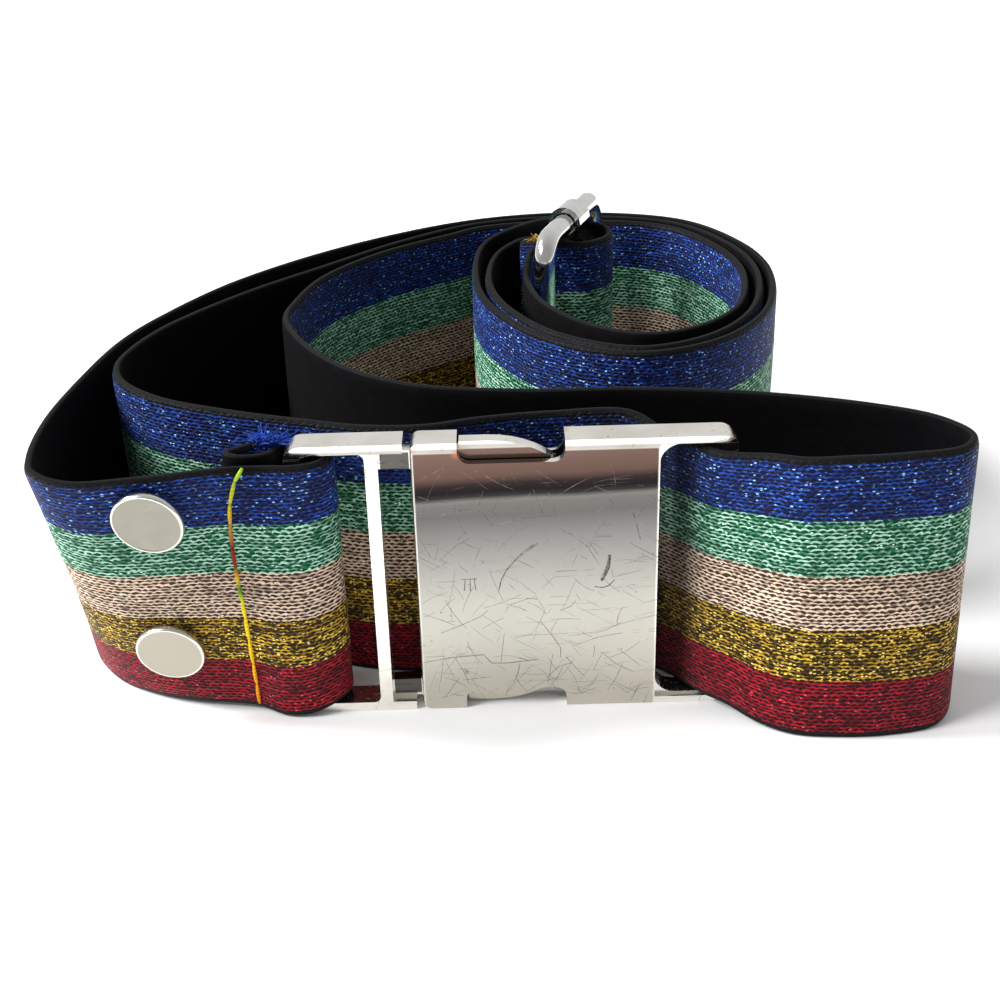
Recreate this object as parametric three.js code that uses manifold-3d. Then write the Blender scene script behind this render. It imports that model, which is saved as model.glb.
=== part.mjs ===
// Elastic stretch belt: one long striped band, coiled and folded as it stands on its edge,
// with a fastened metal side-release buckle, two snap caps and a length slide.
// Millimetres, +Z up, the origin at the bottom centre. The buckle faces -Y.
import * as THREE from "three";
import { mergeVertices } from "three/addons/utils/BufferGeometryUtils.js";
import Module from "manifold-3d";

const wasm = await Module();
wasm.setup();

// Clearances
const pieceGap = 0.3; // between two pieces that touch on the real belt
const cutMargin = 1; // how far a cutting solid runs past the faces that it cuts

// Band
const bandWidth = 50;
const bandThickness = 1.7;
const bandEdgeRound = 0.5;
const layerGap = 0.9; // between neighbouring layers of the coil
const slotWidthShare = 0.95; // what is left of the band's width inside the buckle
const barWidthShare = 0.93; // and where its end wraps round the slide's bar
const slotGap = 0.4; // between the band's edges and the rails beside them
const stationLength = 7; // longest step between two sections of the band
const stationTurn = 11; // largest turn between two sections, in degrees

// Plan of the whole belt, seen from above
const planWidth = 150;
const planDepth = 137;

// Coil at the right rear
const coilWidth = 60;
const coilDepth = 88;
const coilMiddleX = 0.176 * planWidth;

// Buckle
const buckleMiddleX = 0.038 * planWidth; // the middle of its plate
const buckleFrontY = -0.412 * planDepth;
const plateWidth = 39.6;
const buckleDepth = 5.2;
const railThickness = 1.6;
const frontWall = 1.4;
const backWall = 0.8;
const slotWidth = 9.8;
const outerBarWidth = 2.9;
const barSetback = 0.9; // how far the strap loop lies behind the plate's front
const notchStart = 7.5; // from the plate's left edge to the notch
const notchWidth = 17.1;
const notchHeight = 3.8;
const notchRound = 2;
const plateRound = 1.6;
const endRound = 3;
const windowRound = 3.6;
const mouthGap = 1.1; // between the two halves where they meet
const frameBarWidth = 2.8;
const frameSlotWidth = 10.1;
const innerBarWidth = 2.1;
const armGapWidth = 4;
const prongHeight = 3.2;
const prongReach = 24.4;
const barbRise = 1.4;
const barbLand = 4.4; // the flat stretch at the top of a barb

// Snap caps
const capDiameter = 11.6;
const capThickness = 1.5;
const capRim = 0.5;
const snapSeat = 0.8; // from the band, which curves behind each cap and socket
const postDiameter = 3;
const socketDiameter = 8;
const socketThickness = 1.8;
const capPlaces = [
  { name: "upper", along: 0.175, up: 0.855 },
  { name: "lower", along: 0.235, up: 0.285 },
];

// Length slide
const wireDiameter = 4.4;
const slideHalfWidth = 17; // from the centre bar to each long side of the wire
const slideCornerRadius = 4.5;
const slideTurn = 20; // degrees that its width leans from the Y axis towards +X
const slideX = -0.17; // from the coil's middle, a share of its width
const slideY = 0.153; // from the coil's middle, a share of its depth
const slideBarDiameter = 3.6;
const collarLength = 7;
const collarWall = 1;

// Sizes that follow from these
const buckleHeight = slotWidthShare * bandWidth + 2 * (slotGap + railThickness);
const buckleBackY = buckleFrontY + buckleDepth;
const plateLeft = buckleMiddleX - plateWidth / 2;
const plateRight = buckleMiddleX + plateWidth / 2;
const outerBarLeft = plateRight + slotWidth;
const buckleRight = outerBarLeft + outerBarWidth;
const frameRight = plateLeft - mouthGap;
const innerBarRight = frameRight - armGapWidth;
const innerBarLeft = innerBarRight - innerBarWidth;
const frameBarRight = innerBarLeft - frameSlotWidth;
const frameLeft = frameBarRight - frameBarWidth;
const slotLift = railThickness + slotGap;
const halfBand = bandThickness / 2;
const layerPitch = bandThickness + layerGap;
const planBack = planDepth / 2;
const coilMiddleY = planBack - coilDepth / 2;
const slideLift = wireDiameter + 2 * pieceGap;
const slideCentre = new THREE.Vector2(coilMiddleX + slideX * coilWidth, coilMiddleY + slideY * coilDepth);
const turn = THREE.MathUtils.degToRad(slideTurn);
const slideAcross = new THREE.Vector2(Math.sin(turn), Math.cos(turn));
const slideAhead = new THREE.Vector2(Math.cos(turn), -Math.sin(turn));

const colours = {
  band: 0x1b3474,
  nickel: 0xb9b4ac,
  snap: 0xa9abb0,
  slide: 0xd2d0cc,
};

// A stop is one place on the band's route: where its top edge passes, how far its foot stands
// from there, how high the foot is lifted and what share of its full width the band has.
function stop(x, y, { footX = 0, footY = 0, lift = 0, width = 1 } = {}) {
  return [x, y, x + footX * bandWidth, y + footY * bandWidth, lift, width];
}

// Rows with x and y as shares of the plan's width and depth, and feet as shares of the band's width.
function planStops(rows) {
  return rows.map((row) => stop(row.x * planWidth, row.y * planDepth, row));
}

// The tail: its free end, the hem, and the loop round the outer bar of the buckle's plug half.
// Its places are steps from that bar's left rear corner, as shares of the slot beside the bar.
const tailRows = [
  { place: "free end", x: -0.46, y: -0.42, footY: 0.12 },
  { place: "inside of the hem", x: -0.69, y: -0.58, footY: 0.125 },
  { place: "hem fold", x: -0.87, y: -0.74, footY: 0.12 },
  { place: "outside of the hem", x: -0.71, y: -0.89, footY: 0.11 },
  { place: "beside the front layer", x: -0.45, y: -0.85, footY: 0.1 },
  { place: "left of the bar", x: -0.23, y: -0.49, footY: 0.06 },
  { place: "rear left of the bar", x: -0.09, y: -0.04, footY: 0.02 },
  { place: "behind the bar", x: 0.36, y: 0.16, footY: 0.01 },
  { place: "rear of the fold", x: 0.85, y: 0.02, footY: 0.015 },
  { place: "fold edge", x: 1.05, y: -0.4, footY: 0.03 },
  { place: "front of the fold", x: 0.88, y: -0.87, footY: 0.05 },
  { place: "in front of the bar", x: 0.36, y: -1.1, footY: 0.06 },
];

function tailStops() {
  return tailRows.map((row) =>
    stop(frameLeft + row.x * frameSlotWidth, buckleBackY + row.y * frameSlotWidth, {
      footY: row.footY,
      lift: slotLift,
      width: slotWidthShare,
    })
  );
}

// The front layer with the snap caps, and the fold at the far left.
const leftFoldRows = [
  { place: "beside the hem", x: -0.283, y: -0.459, footY: 0.11, lift: 1.6, width: 0.96 },
  { place: "at the snap caps", x: -0.367, y: -0.466, footX: 0.02, footY: 0.225, lift: 0.7, width: 0.97 },
  { place: "before the fold", x: -0.44, y: -0.474, footX: 0.09, footY: 0.31, lift: 0.3, width: 0.98 },
  { place: "front of the fold", x: -0.478, y: -0.456, footX: 0.09, footY: 0.335, lift: 0.1 },
  { place: "left of the fold", x: -0.4907, y: -0.414, footX: 0.045, footY: 0.32 },
  { place: "behind the fold", x: -0.497, y: -0.314, footX: 0.01, footY: 0.18 },
  { place: "left end of the plan", x: -0.488, y: -0.197, footX: -0.01, footY: 0.05 },
];

// The three layers of the long curve from the left to the coil.
const backRunRows = {
  outer: [
    { place: "left", x: -0.464, y: -0.049 },
    { place: "rear left", x: -0.428, y: 0.05 },
    { place: "middle", x: -0.346, y: 0.2 },
    { place: "before the coil", x: -0.192, y: 0.368 },
  ],
  middle: [
    { place: "rear left", x: -0.4187, y: 0.003 },
    { place: "left of the middle", x: -0.337, y: 0.134 },
    { place: "right of the middle", x: -0.237, y: 0.2535 },
    { place: "before the coil", x: -0.13, y: 0.3745 },
  ],
  inner: [
    { place: "before the coil", x: -0.063, y: 0.3985 },
    { place: "middle", x: -0.163, y: 0.31 },
    { place: "behind its fold", x: -0.235, y: 0.2 },
    { place: "left of its fold", x: -0.264, y: 0.0876 },
  ],
};

// The coil, from its far left clockwise to its left end. x and y are the outer layer's place as
// shares of the coil's width and depth. Inner is how many layer pitches the inner layer lies inside.
const coilRows = [
  { place: "far left", x: -0.49, y: 0.466, inner: 2.2 },
  { place: "far", x: -0.107, y: 0.5, inner: 2.3 },
  { place: "far right", x: 0.263, y: 0.418, inner: 2.2 },
  { place: "right rear", x: 0.457, y: 0.198, inner: 2.2 },
  { place: "right", x: 0.5, y: -0.018, inner: 2.1 },
  { place: "right front", x: 0.41, y: -0.285, inner: 2.2 },
  { place: "front right", x: 0.227, y: -0.443, inner: 2.9 },
  { place: "front", x: -0.013, y: -0.5, inner: 3.7 },
  { place: "front left", x: -0.265, y: -0.409, inner: 3.9 },
  { place: "left front", x: -0.437, y: -0.218, inner: 3.8 },
  { place: "left", x: -0.498, y: -0.018, inner: 4 },
];

function coilStops(layer) {
  const guide = coilRows.map(
    (row) => new THREE.Vector2(coilMiddleX + row.x * coilWidth, coilMiddleY + row.y * coilDepth)
  );
  return coilRows.map((row, i) => {
    const before = guide[Math.max(i - 1, 0)];
    const after = guide[Math.min(i + 1, guide.length - 1)];
    const along = after.clone().sub(before).normalize();
    const inset = { outer: 0, middle: 1, inner: row.inner }[layer] * layerPitch;
    return stop(guide[i].x + along.y * inset, guide[i].y - along.x * inset);
  });
}

// A place beside the slide's centre bar: across towards its rear side, ahead towards the right,
// both in shares of the slide's half width.
function slideStop({ across, ahead, lift = 1, width = 1 }) {
  const place = slideCentre
    .clone()
    .addScaledVector(slideAcross, across * slideHalfWidth)
    .addScaledVector(slideAhead, ahead * slideHalfWidth);
  return stop(place.x, place.y, { lift: lift * slideLift, width });
}

// The outer layer comes in through the rear slot, turns round the bar and leaves by the front
// slot as the inner layer.
const slideTurnRows = [
  { place: "left of the slide", across: 0.01, ahead: -1.11, lift: 0.25 },
  { place: "rear left", across: 0.36, ahead: -0.86, lift: 0.6 },
  { place: "before the rear slot", across: 0.47, ahead: -0.44, lift: 1 },
  { place: "rear slot", across: 0.5, ahead: 0, lift: 1 },
  { place: "rear of the turn", across: 0.36, ahead: 0.35, lift: 1 },
  { place: "turn", across: 0, ahead: 0.5, lift: 1 },
  { place: "front of the turn", across: -0.37, ahead: 0.33, lift: 1 },
  { place: "front slot", across: -0.5, ahead: 0, lift: 1 },
  { place: "behind the front bar", across: -0.78, ahead: -0.27, lift: 0.8 },
];

// The middle layer ends round the centre bar, its end stitched back against it.
const bandEndRows = [
  { place: "left of the slide", across: -0.13, ahead: -0.86, lift: 0.3, width: 0.98 },
  { place: "before the bar", across: 0.11, ahead: -0.66, lift: 0.8, width: 0.96 },
  { place: "rear of the bar, left", across: 0.2, ahead: -0.28, lift: 1.2, width: barWidthShare },
  { place: "rear of the bar", across: 0.205, ahead: -0.03, lift: 1.3, width: barWidthShare },
  { place: "round the bar", across: 0, ahead: 0.205, lift: 1.3, width: barWidthShare },
  { place: "front of the bar", across: -0.205, ahead: -0.03, lift: 1.3, width: barWidthShare },
  { place: "front of the bar, left", across: -0.13, ahead: -0.3, lift: 1.3, width: barWidthShare },
  { place: "stitched end", across: -0.08, ahead: -0.6, lift: 1.2, width: barWidthShare },
];

// The inner layer's own fold, its black run to the right and the loop at the far right.
const rightLoopRows = [
  { place: "left end of the fold", x: -0.269, y: 0.034 },
  { place: "front of the fold", x: -0.259, y: -0.015 },
  { place: "after the fold", x: -0.22, y: -0.106 },
  { place: "run, left", x: -0.167, y: -0.179 },
  { place: "run, before the middle", x: -0.093, y: -0.232 },
  { place: "run, middle", x: 0.026, y: -0.258 },
  { place: "run, after the middle", x: 0.16, y: -0.263 },
  { place: "run, right", x: 0.293, y: -0.288 },
  { place: "before the loop", x: 0.413, y: -0.334, footY: -0.02 },
  { place: "rear of the loop", x: 0.471, y: -0.374, footY: -0.03 },
  { place: "end of the loop", x: 0.494, y: -0.42, footX: 0.005, footY: -0.04 },
  { place: "front of the loop", x: 0.474, y: -0.464, footY: -0.05 },
  { place: "front run", x: 0.42, y: -0.477, footY: -0.06 },
  { place: "front run, left", x: 0.353, y: -0.473, footY: -0.05, lift: 0.3 },
  { place: "before the buckle", x: 0.3, y: -0.46, footY: -0.03, lift: 1, width: 0.97 },
];

// Over the outer bar of the buckle's socket half from the front and down through its slot, in
// steps from the bar's left front corner as shares of the slot's width.
const buckleSlotRows = [
  { place: "before the bar", x: 0.5, y: -0.39 },
  { place: "in front of the bar", x: 0.16, y: -0.27 },
  { place: "left of the bar", x: -0.18, y: -0.1 },
  { place: "in the slot", x: -0.5, y: 0.3 },
  { place: "behind the plate", x: -0.84, y: 0.66 },
];

function buckleSlotStops() {
  return buckleSlotRows.map((row) =>
    stop(outerBarLeft + row.x * slotWidth, buckleFrontY + barSetback + row.y * slotWidth, {
      lift: slotLift,
      width: slotWidthShare,
    })
  );
}

// The layer behind the buckle and its fold, the second from the left.
const middleLoopRows = [
  { place: "behind the plate, right", x: 0.144, y: -0.326, footY: 0.02, lift: 1.2, width: 0.97 },
  { place: "behind the plate", x: 0.06, y: -0.318, footY: 0.05, lift: 0.4, width: 0.98 },
  { place: "behind the tabs", x: -0.025, y: -0.341, footY: 0.07 },
  { place: "behind the prongs", x: -0.08, y: -0.3575, footY: 0.09 },
  { place: "behind the frame", x: -0.147, y: -0.354, footY: 0.1 },
  { place: "behind the tail", x: -0.213, y: -0.332, footY: 0.1 },
  { place: "behind the caps", x: -0.305, y: -0.295, footY: 0.08 },
  { place: "before the fold", x: -0.385, y: -0.25, footY: 0.05 },
  { place: "front of the fold", x: -0.438, y: -0.188, footX: 0.02, footY: 0.02 },
  { place: "left end of the fold", x: -0.453, y: -0.135, footX: 0.01 },
  { place: "behind the fold", x: -0.447, y: -0.08 },
];

function routeStops() {
  return [
    ...tailStops(),
    ...planStops(leftFoldRows),
    ...planStops(backRunRows.outer),
    ...coilStops("outer"),
    ...slideTurnRows.map(slideStop),
    ...coilStops("inner").reverse(),
    ...planStops(backRunRows.inner),
    ...planStops(rightLoopRows),
    ...buckleSlotStops(),
    ...planStops(middleLoopRows),
    ...planStops(backRunRows.middle),
    ...coilStops("middle"),
    ...bandEndRows.map(slideStop),
  ];
}

// A centripetal Catmull-Rom curve through the stops, in short steps.
function smoothRoute(stops, finest = 0.5) {
  const ends = [
    stops[0].map((v, i) => 2 * v - stops[1][i]),
    stops.at(-1).map((v, i) => 2 * v - stops.at(-2)[i]),
  ];
  const all = [ends[0], ...stops, ends[1]];
  const knot = (a, b) => Math.sqrt(Math.hypot(a[0] - b[0], a[1] - b[1]));
  const points = [];
  for (let i = 1; i < all.length - 2; i++) {
    const [p, q, r, s] = all.slice(i - 1, i + 3);
    const before = knot(p, q);
    const between = knot(q, r);
    const after = knot(r, s);
    const steps = Math.max(2, Math.ceil(between ** 2 / finest));
    for (let k = 0; k < steps; k++) {
      const t = k / steps;
      points.push(
        q.map((v, j) => {
          const leave = (v - p[j]) / before - (r[j] - p[j]) / (before + between) + (r[j] - v) / between;
          const enter = (r[j] - v) / between - (s[j] - v) / (between + after) + (s[j] - r[j]) / after;
          const m = leave * between;
          const n = enter * between;
          const cubic = 2 * v - 2 * r[j] + m + n;
          return ((cubic * t + 3 * r[j] - 3 * v - 2 * m - n) * t + m) * t + v;
        })
      );
    }
  }
  points.push(stops.at(-1));
  return points;
}

// Sections of the band: its top and foot, the way across it and how far along the band each is.
function bandStations() {
  const fine = smoothRoute(routeStops());
  const middle = fine.map((p) => new THREE.Vector2((p[0] + p[2]) / 2, (p[1] + p[3]) / 2));
  const heading = middle.map((_, i) => {
    const ahead = middle[Math.min(i + 1, middle.length - 1)];
    return ahead.clone().sub(middle[Math.max(i - 1, 0)]).normalize();
  });
  const stations = [];
  let along = 0;
  let sinceLast = Infinity;
  let last = heading[0];
  fine.forEach((p, i) => {
    const step = i ? middle[i].distanceTo(middle[i - 1]) : 0;
    along += step;
    sinceLast += step;
    const turned = Math.acos(Math.min(1, heading[i].dot(last)));
    const enough = sinceLast > stationLength || turned > THREE.MathUtils.degToRad(stationTurn);
    if (!enough && i < fine.length - 1) return;
    const [topX, topY, footX, footY] = p;
    const lift = Math.max(0, p[4]);
    const width = Math.min(1, p[5]);
    stations.push({
      top: new THREE.Vector3(topX, topY, lift + width * bandWidth),
      foot: new THREE.Vector3(footX, footY, lift),
      across: new THREE.Vector3(-heading[i].y, heading[i].x, 0),
      along,
    });
    sinceLast = 0;
    last = heading[i];
  });
  return stations;
}

// A closed body through rings of points. An open row of rings gets a cap at each end.
function loft(rings, closed = false) {
  const size = rings[0].length;
  const positions = rings.flat().flatMap((p) => [p.x, p.y, p.z]);
  const index = [];
  const count = closed ? rings.length : rings.length - 1;
  for (let i = 0; i < count; i++) {
    const a = i * size;
    const b = ((i + 1) % rings.length) * size;
    for (let k = 0; k < size; k++) {
      const n = (k + 1) % size;
      index.push(a + k, a + n, b + n, a + k, b + n, b + k);
    }
  }
  if (!closed) {
    const end = (rings.length - 1) * size;
    for (let k = 1; k < size - 1; k++) {
      index.push(0, k + 1, k);
      index.push(end, end + k, end + k + 1);
    }
  }
  const geometry = new THREE.BufferGeometry();
  geometry.setAttribute("position", new THREE.Float32BufferAttribute(positions, 3));
  geometry.setIndex(index);
  return signedVolume(geometry) < 0 ? flipped(geometry) : geometry;
}

function signedVolume(geometry) {
  const place = geometry.attributes.position;
  const corner = [0, 1, 2].map(() => new THREE.Vector3());
  let volume = 0;
  for (let i = 0; i < geometry.index.count; i += 3) {
    corner.forEach((c, k) => c.fromBufferAttribute(place, geometry.index.getX(i + k)));
    volume += corner[0].dot(corner[1].clone().cross(corner[2])) / 6;
  }
  return volume;
}

function flipped(geometry) {
  const index = Array.from(geometry.index.array);
  for (let i = 0; i < index.length; i += 3) [index[i], index[i + 1]] = [index[i + 1], index[i]];
  geometry.setIndex(index);
  return geometry;
}

// Solids for cutting and joining
function solid(geometry) {
  const bare = geometry.clone();
  bare.deleteAttribute("normal");
  bare.deleteAttribute("uv");
  const merged = mergeVertices(bare, 1e-4);
  return new wasm.Manifold(
    new wasm.Mesh({
      numProp: 3,
      vertProperties: new Float32Array(merged.attributes.position.array),
      triVerts: new Uint32Array(merged.index.array),
    })
  );
}

function geometryOf(manifold) {
  const mesh = manifold.getMesh();
  const geometry = new THREE.BufferGeometry();
  geometry.setAttribute("position", new THREE.Float32BufferAttribute(mesh.vertProperties, 3));
  geometry.setIndex(Array.from(mesh.triVerts));
  return geometry;
}

// A rectangle with rounded corners, as a shape; radii are for the corners from the lower left, clockwise.
function roundedShape(x0, x1, z0, z1, radii) {
  const [lowerLeft, upperLeft, upperRight, lowerRight] = radii;
  const shape = new THREE.Shape();
  shape.moveTo(x0 + lowerLeft, z0);
  shape.lineTo(x1 - lowerRight, z0);
  if (lowerRight) shape.absarc(x1 - lowerRight, z0 + lowerRight, lowerRight, -Math.PI / 2, 0);
  shape.lineTo(x1, z1 - upperRight);
  if (upperRight) shape.absarc(x1 - upperRight, z1 - upperRight, upperRight, 0, Math.PI / 2);
  shape.lineTo(x0 + upperLeft, z1);
  if (upperLeft) shape.absarc(x0 + upperLeft, z1 - upperLeft, upperLeft, Math.PI / 2, Math.PI);
  shape.lineTo(x0, z0 + lowerLeft);
  if (lowerLeft) shape.absarc(x0 + lowerLeft, z0 + lowerLeft, lowerLeft, Math.PI, 1.5 * Math.PI);
  return shape;
}

// A shape drawn in X and Z, as a slab from frontY to backY.
function slab(shape, frontY, backY, curveSegments = 5) {
  const geometry = new THREE.ExtrudeGeometry(shape, {
    depth: backY - frontY,
    bevelEnabled: false,
    curveSegments,
  });
  geometry.rotateX(Math.PI / 2);
  geometry.translate(0, backY, 0);
  return solid(geometry);
}

function block(x0, x1, y0, y1, z0, z1) {
  const geometry = new THREE.BoxGeometry(x1 - x0, y1 - y0, z1 - z0);
  geometry.translate((x0 + x1) / 2, (y0 + y1) / 2, (z0 + z1) / 2);
  return solid(geometry);
}

// The same solid at the bottom of the buckle as at its top.
function upsideDown(manifold) {
  return manifold.mirror([0, 0, 1]).translate([0, 0, buckleHeight]);
}

// A body whose plan ends are rounded, by keeping what lies inside a plan outline.
function planOutline(x0, x1, leftRound, rightRound) {
  const shape = roundedShape(x0, x1, buckleFrontY, buckleBackY, [leftRound, leftRound, rightRound, rightRound]);
  const geometry = new THREE.ExtrudeGeometry(shape, {
    depth: buckleHeight,
    bevelEnabled: false,
    curveSegments: 4,
  });
  return solid(geometry);
}

// The socket half: plate, hollow behind it, tabs and notches, and the strap loop on its right.
function bucklePlate() {
  const top = buckleHeight;
  const rail = railThickness;
  const cavityFront = buckleFrontY + frontWall;
  const cavityBack = buckleBackY - backWall;
  let body = slab(
    roundedShape(plateLeft, buckleRight, 0, top, [plateRound, plateRound, endRound, endRound]),
    buckleFrontY,
    buckleBackY
  );
  body = body.intersect(planOutline(plateLeft, buckleRight, plateRound / 2, buckleDepth * 0.4));
  const window = slab(
    roundedShape(plateRight, outerBarLeft, rail, top - rail, [windowRound, windowRound, 1, 1]),
    buckleFrontY - cutMargin,
    buckleBackY + cutMargin
  );
  const loopSetback = block(
    plateRight,
    buckleRight + cutMargin,
    buckleFrontY - cutMargin,
    buckleFrontY + barSetback,
    rail * 0.75,
    top - rail * 0.75
  );
  const cavity = block(
    plateLeft - cutMargin,
    plateLeft + notchStart + notchWidth + mouthGap,
    cavityFront,
    cavityBack,
    rail,
    top - rail
  );
  const notchLeft = plateLeft + notchStart;
  const notch = slab(
    roundedShape(notchLeft, notchLeft + notchWidth, top - notchHeight, top + cutMargin, [
      notchRound,
      0,
      0,
      notchRound,
    ]),
    buckleFrontY - cutMargin,
    buckleBackY + cutMargin
  );
  return [window, loopSetback, cavity, notch, upsideDown(notch)].reduce((rest, cut) => rest.subtract(cut), body);
}

// One spring prong of the plug half: an arm with a barb that shows in the notch.
function prong() {
  const top = buckleHeight;
  const armTop = top - railThickness - pieceGap;
  const barbLeft = plateLeft + notchStart + pieceGap;
  const barbTop = armTop + barbRise;
  const tip = frameRight + prongReach;
  const shape = new THREE.Shape();
  shape.moveTo(innerBarRight - innerBarWidth / 2, armTop - prongHeight);
  shape.lineTo(tip - prongHeight / 2, armTop - prongHeight * 1.15);
  shape.quadraticCurveTo(tip, armTop - prongHeight * 1.1, tip, armTop - prongHeight * 0.75);
  shape.quadraticCurveTo(tip - prongReach * 0.2, barbTop, barbLeft + barbLand, barbTop);
  shape.lineTo(barbLeft, barbTop);
  shape.lineTo(barbLeft, armTop);
  shape.lineTo(innerBarRight - innerBarWidth / 2, armTop);
  shape.closePath();
  return slab(shape, buckleFrontY + frontWall + pieceGap, buckleBackY - backWall - pieceGap, 6);
}

// The plug half: rails, the outer bar in the tail's loop, the inner bar, and its two prongs.
function buckleFrame() {
  const top = buckleHeight;
  const rail = railThickness;
  let body = slab(
    roundedShape(frameLeft, frameRight, 0, top, [endRound, endRound, 0, 0]),
    buckleFrontY,
    buckleBackY
  );
  body = body.intersect(planOutline(frameLeft, frameRight, buckleDepth * 0.3, 0));
  const slot = slab(
    roundedShape(frameBarRight, innerBarLeft, rail, top - rail, [1.2, 1.2, 1.2, 1.2]),
    buckleFrontY - cutMargin,
    buckleBackY + cutMargin
  );
  const mouth = block(
    innerBarRight,
    frameRight + cutMargin,
    buckleFrontY - cutMargin,
    buckleBackY + cutMargin,
    rail,
    top - rail
  );
  const barSetbackCut = block(
    frameLeft - cutMargin,
    frameBarRight,
    buckleFrontY - cutMargin,
    buckleFrontY + barSetback,
    rail,
    top - rail
  );
  body = body.subtract(slot).subtract(mouth).subtract(barSetbackCut);
  const link = block(
    innerBarRight - innerBarWidth / 2,
    frameRight,
    buckleFrontY + frontWall + pieceGap,
    buckleBackY - backWall - pieceGap,
    top - rail - prongHeight,
    top - rail / 2
  );
  return [prong(), upsideDown(prong()), link, upsideDown(link)].reduce((all, piece) => all.add(piece), body);
}

// A place on the front layer of the band and the way out of it there.
function frontWallPlace(stations, along, up) {
  const first = stations.findIndex((s) => s.top.x < frameLeft - frameSlotWidth && s.top.y < buckleFrontY);
  const last = stations.findIndex((s, i) => i > first && s.top.y > buckleFrontY);
  const reach = THREE.MathUtils.lerp(stations[first].along, stations[last].along, along);
  const next = stations.findIndex((s) => s.along > reach);
  const [a, b] = [stations[next - 1], stations[next]];
  const share = (reach - a.along) / (b.along - a.along);
  const top = a.top.clone().lerp(b.top, share);
  const foot = a.foot.clone().lerp(b.foot, share);
  const rise = top.clone().sub(foot).normalize();
  const across = a.across.clone().lerp(b.across, share).normalize();
  const out = across.clone().addScaledVector(rise, -across.dot(rise)).normalize();
  return { point: foot.clone().lerp(top, up), out };
}

// A body turned about its own axis, placed on the band with that axis along the way out.
function onBand(profile, place, sides) {
  const geometry = new THREE.LatheGeometry(
    profile.map(([radius, height]) => new THREE.Vector2(radius, height)),
    sides
  );
  const upright = new THREE.Vector3(0, 1, 0);
  geometry.applyQuaternion(new THREE.Quaternion().setFromUnitVectors(upright, place.out));
  geometry.translate(place.point.x, place.point.y, place.point.z);
  return geometry;
}

// Cap: a flat disc with a rounded rim, and the post behind it that passes through the band.
function snapCap(place) {
  const face = halfBand + snapSeat;
  const radius = capDiameter / 2;
  const postEnd = -(halfBand + snapSeat + socketThickness * 0.6);
  return onBand(
    [
      [0, postEnd],
      [postDiameter / 2, postEnd],
      [postDiameter / 2, face],
      [radius - capRim, face],
      [radius, face + capRim],
      [radius, face + capThickness - capRim],
      [radius - capRim, face + capThickness],
      [0, face + capThickness],
    ],
    place,
    24
  );
}

// Socket: a ring behind the band, round the post.
function snapSocket(place) {
  const near = -(halfBand + snapSeat);
  const far = near - socketThickness;
  const outer = socketDiameter / 2;
  const inner = postDiameter / 2 + pieceGap;
  return onBand(
    [
      [inner, far],
      [outer - capRim, far],
      [outer, far + capRim],
      [outer, near],
      [inner, near],
      [inner, far],
    ],
    place,
    20
  );
}

// The band's section has chamfered edges, and the posts' holes are cut through it.
function elasticBand(stations, places) {
  const e = bandEdgeRound;
  const rings = stations.map(({ top, foot, across }) => {
    const rise = top.clone().sub(foot);
    const height = rise.length();
    rise.normalize();
    const at = (side, up) => foot.clone().addScaledVector(across, side).addScaledVector(rise, up);
    return [
      at(-halfBand, e),
      at(-halfBand, height - e),
      at(e - halfBand, height),
      at(halfBand - e, height),
      at(halfBand, height - e),
      at(halfBand, e),
      at(halfBand - e, 0),
      at(e - halfBand, 0),
    ];
  });
  const reach = bandThickness + cutMargin;
  const hole = postDiameter / 2 + pieceGap;
  return places.reduce(
    (band, place) =>
      band.subtract(
        solid(
          onBand(
            [
              [0, -reach],
              [hole, -reach],
              [hole, reach],
              [0, reach],
            ],
            place,
            16
          )
        )
      ),
    solid(loft(rings))
  );
}

// The slide's wire: a rounded rectangle that stands on edge round the band.
function slideWire() {
  const radius = wireDiameter / 2;
  const low = radius;
  const high = slideLift + bandWidth + pieceGap + radius;
  const corners = [
    { side: 1, level: high, from: 0 },
    { side: -1, level: high, from: 90 },
    { side: -1, level: low, from: 180 },
    { side: 1, level: low, from: 270 },
  ];
  const cornerSteps = 6;
  const path = corners.flatMap(({ side, level, from }) => {
    const centreAcross = side * (slideHalfWidth - slideCornerRadius);
    const centreLevel = level === high ? high - slideCornerRadius : low + slideCornerRadius;
    return Array.from({ length: cornerSteps + 1 }, (_, k) => {
      const angle = THREE.MathUtils.degToRad(from + (90 * k) / cornerSteps);
      return {
        across: centreAcross + slideCornerRadius * Math.cos(angle),
        level: centreLevel + slideCornerRadius * Math.sin(angle),
        angle,
      };
    });
  });
  const sides = 10;
  const rings = path.map(({ across, level, angle }) =>
    Array.from({ length: sides }, (_, k) => {
      const around = (2 * Math.PI * k) / sides;
      const outward = radius * Math.cos(around);
      const place = slideCentre
        .clone()
        .addScaledVector(slideAcross, across + outward * Math.cos(angle))
        .addScaledVector(slideAhead, radius * Math.sin(around));
      return new THREE.Vector3(place.x, place.y, level + outward * Math.sin(angle));
    })
  );
  return loft(rings, true);
}

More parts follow.
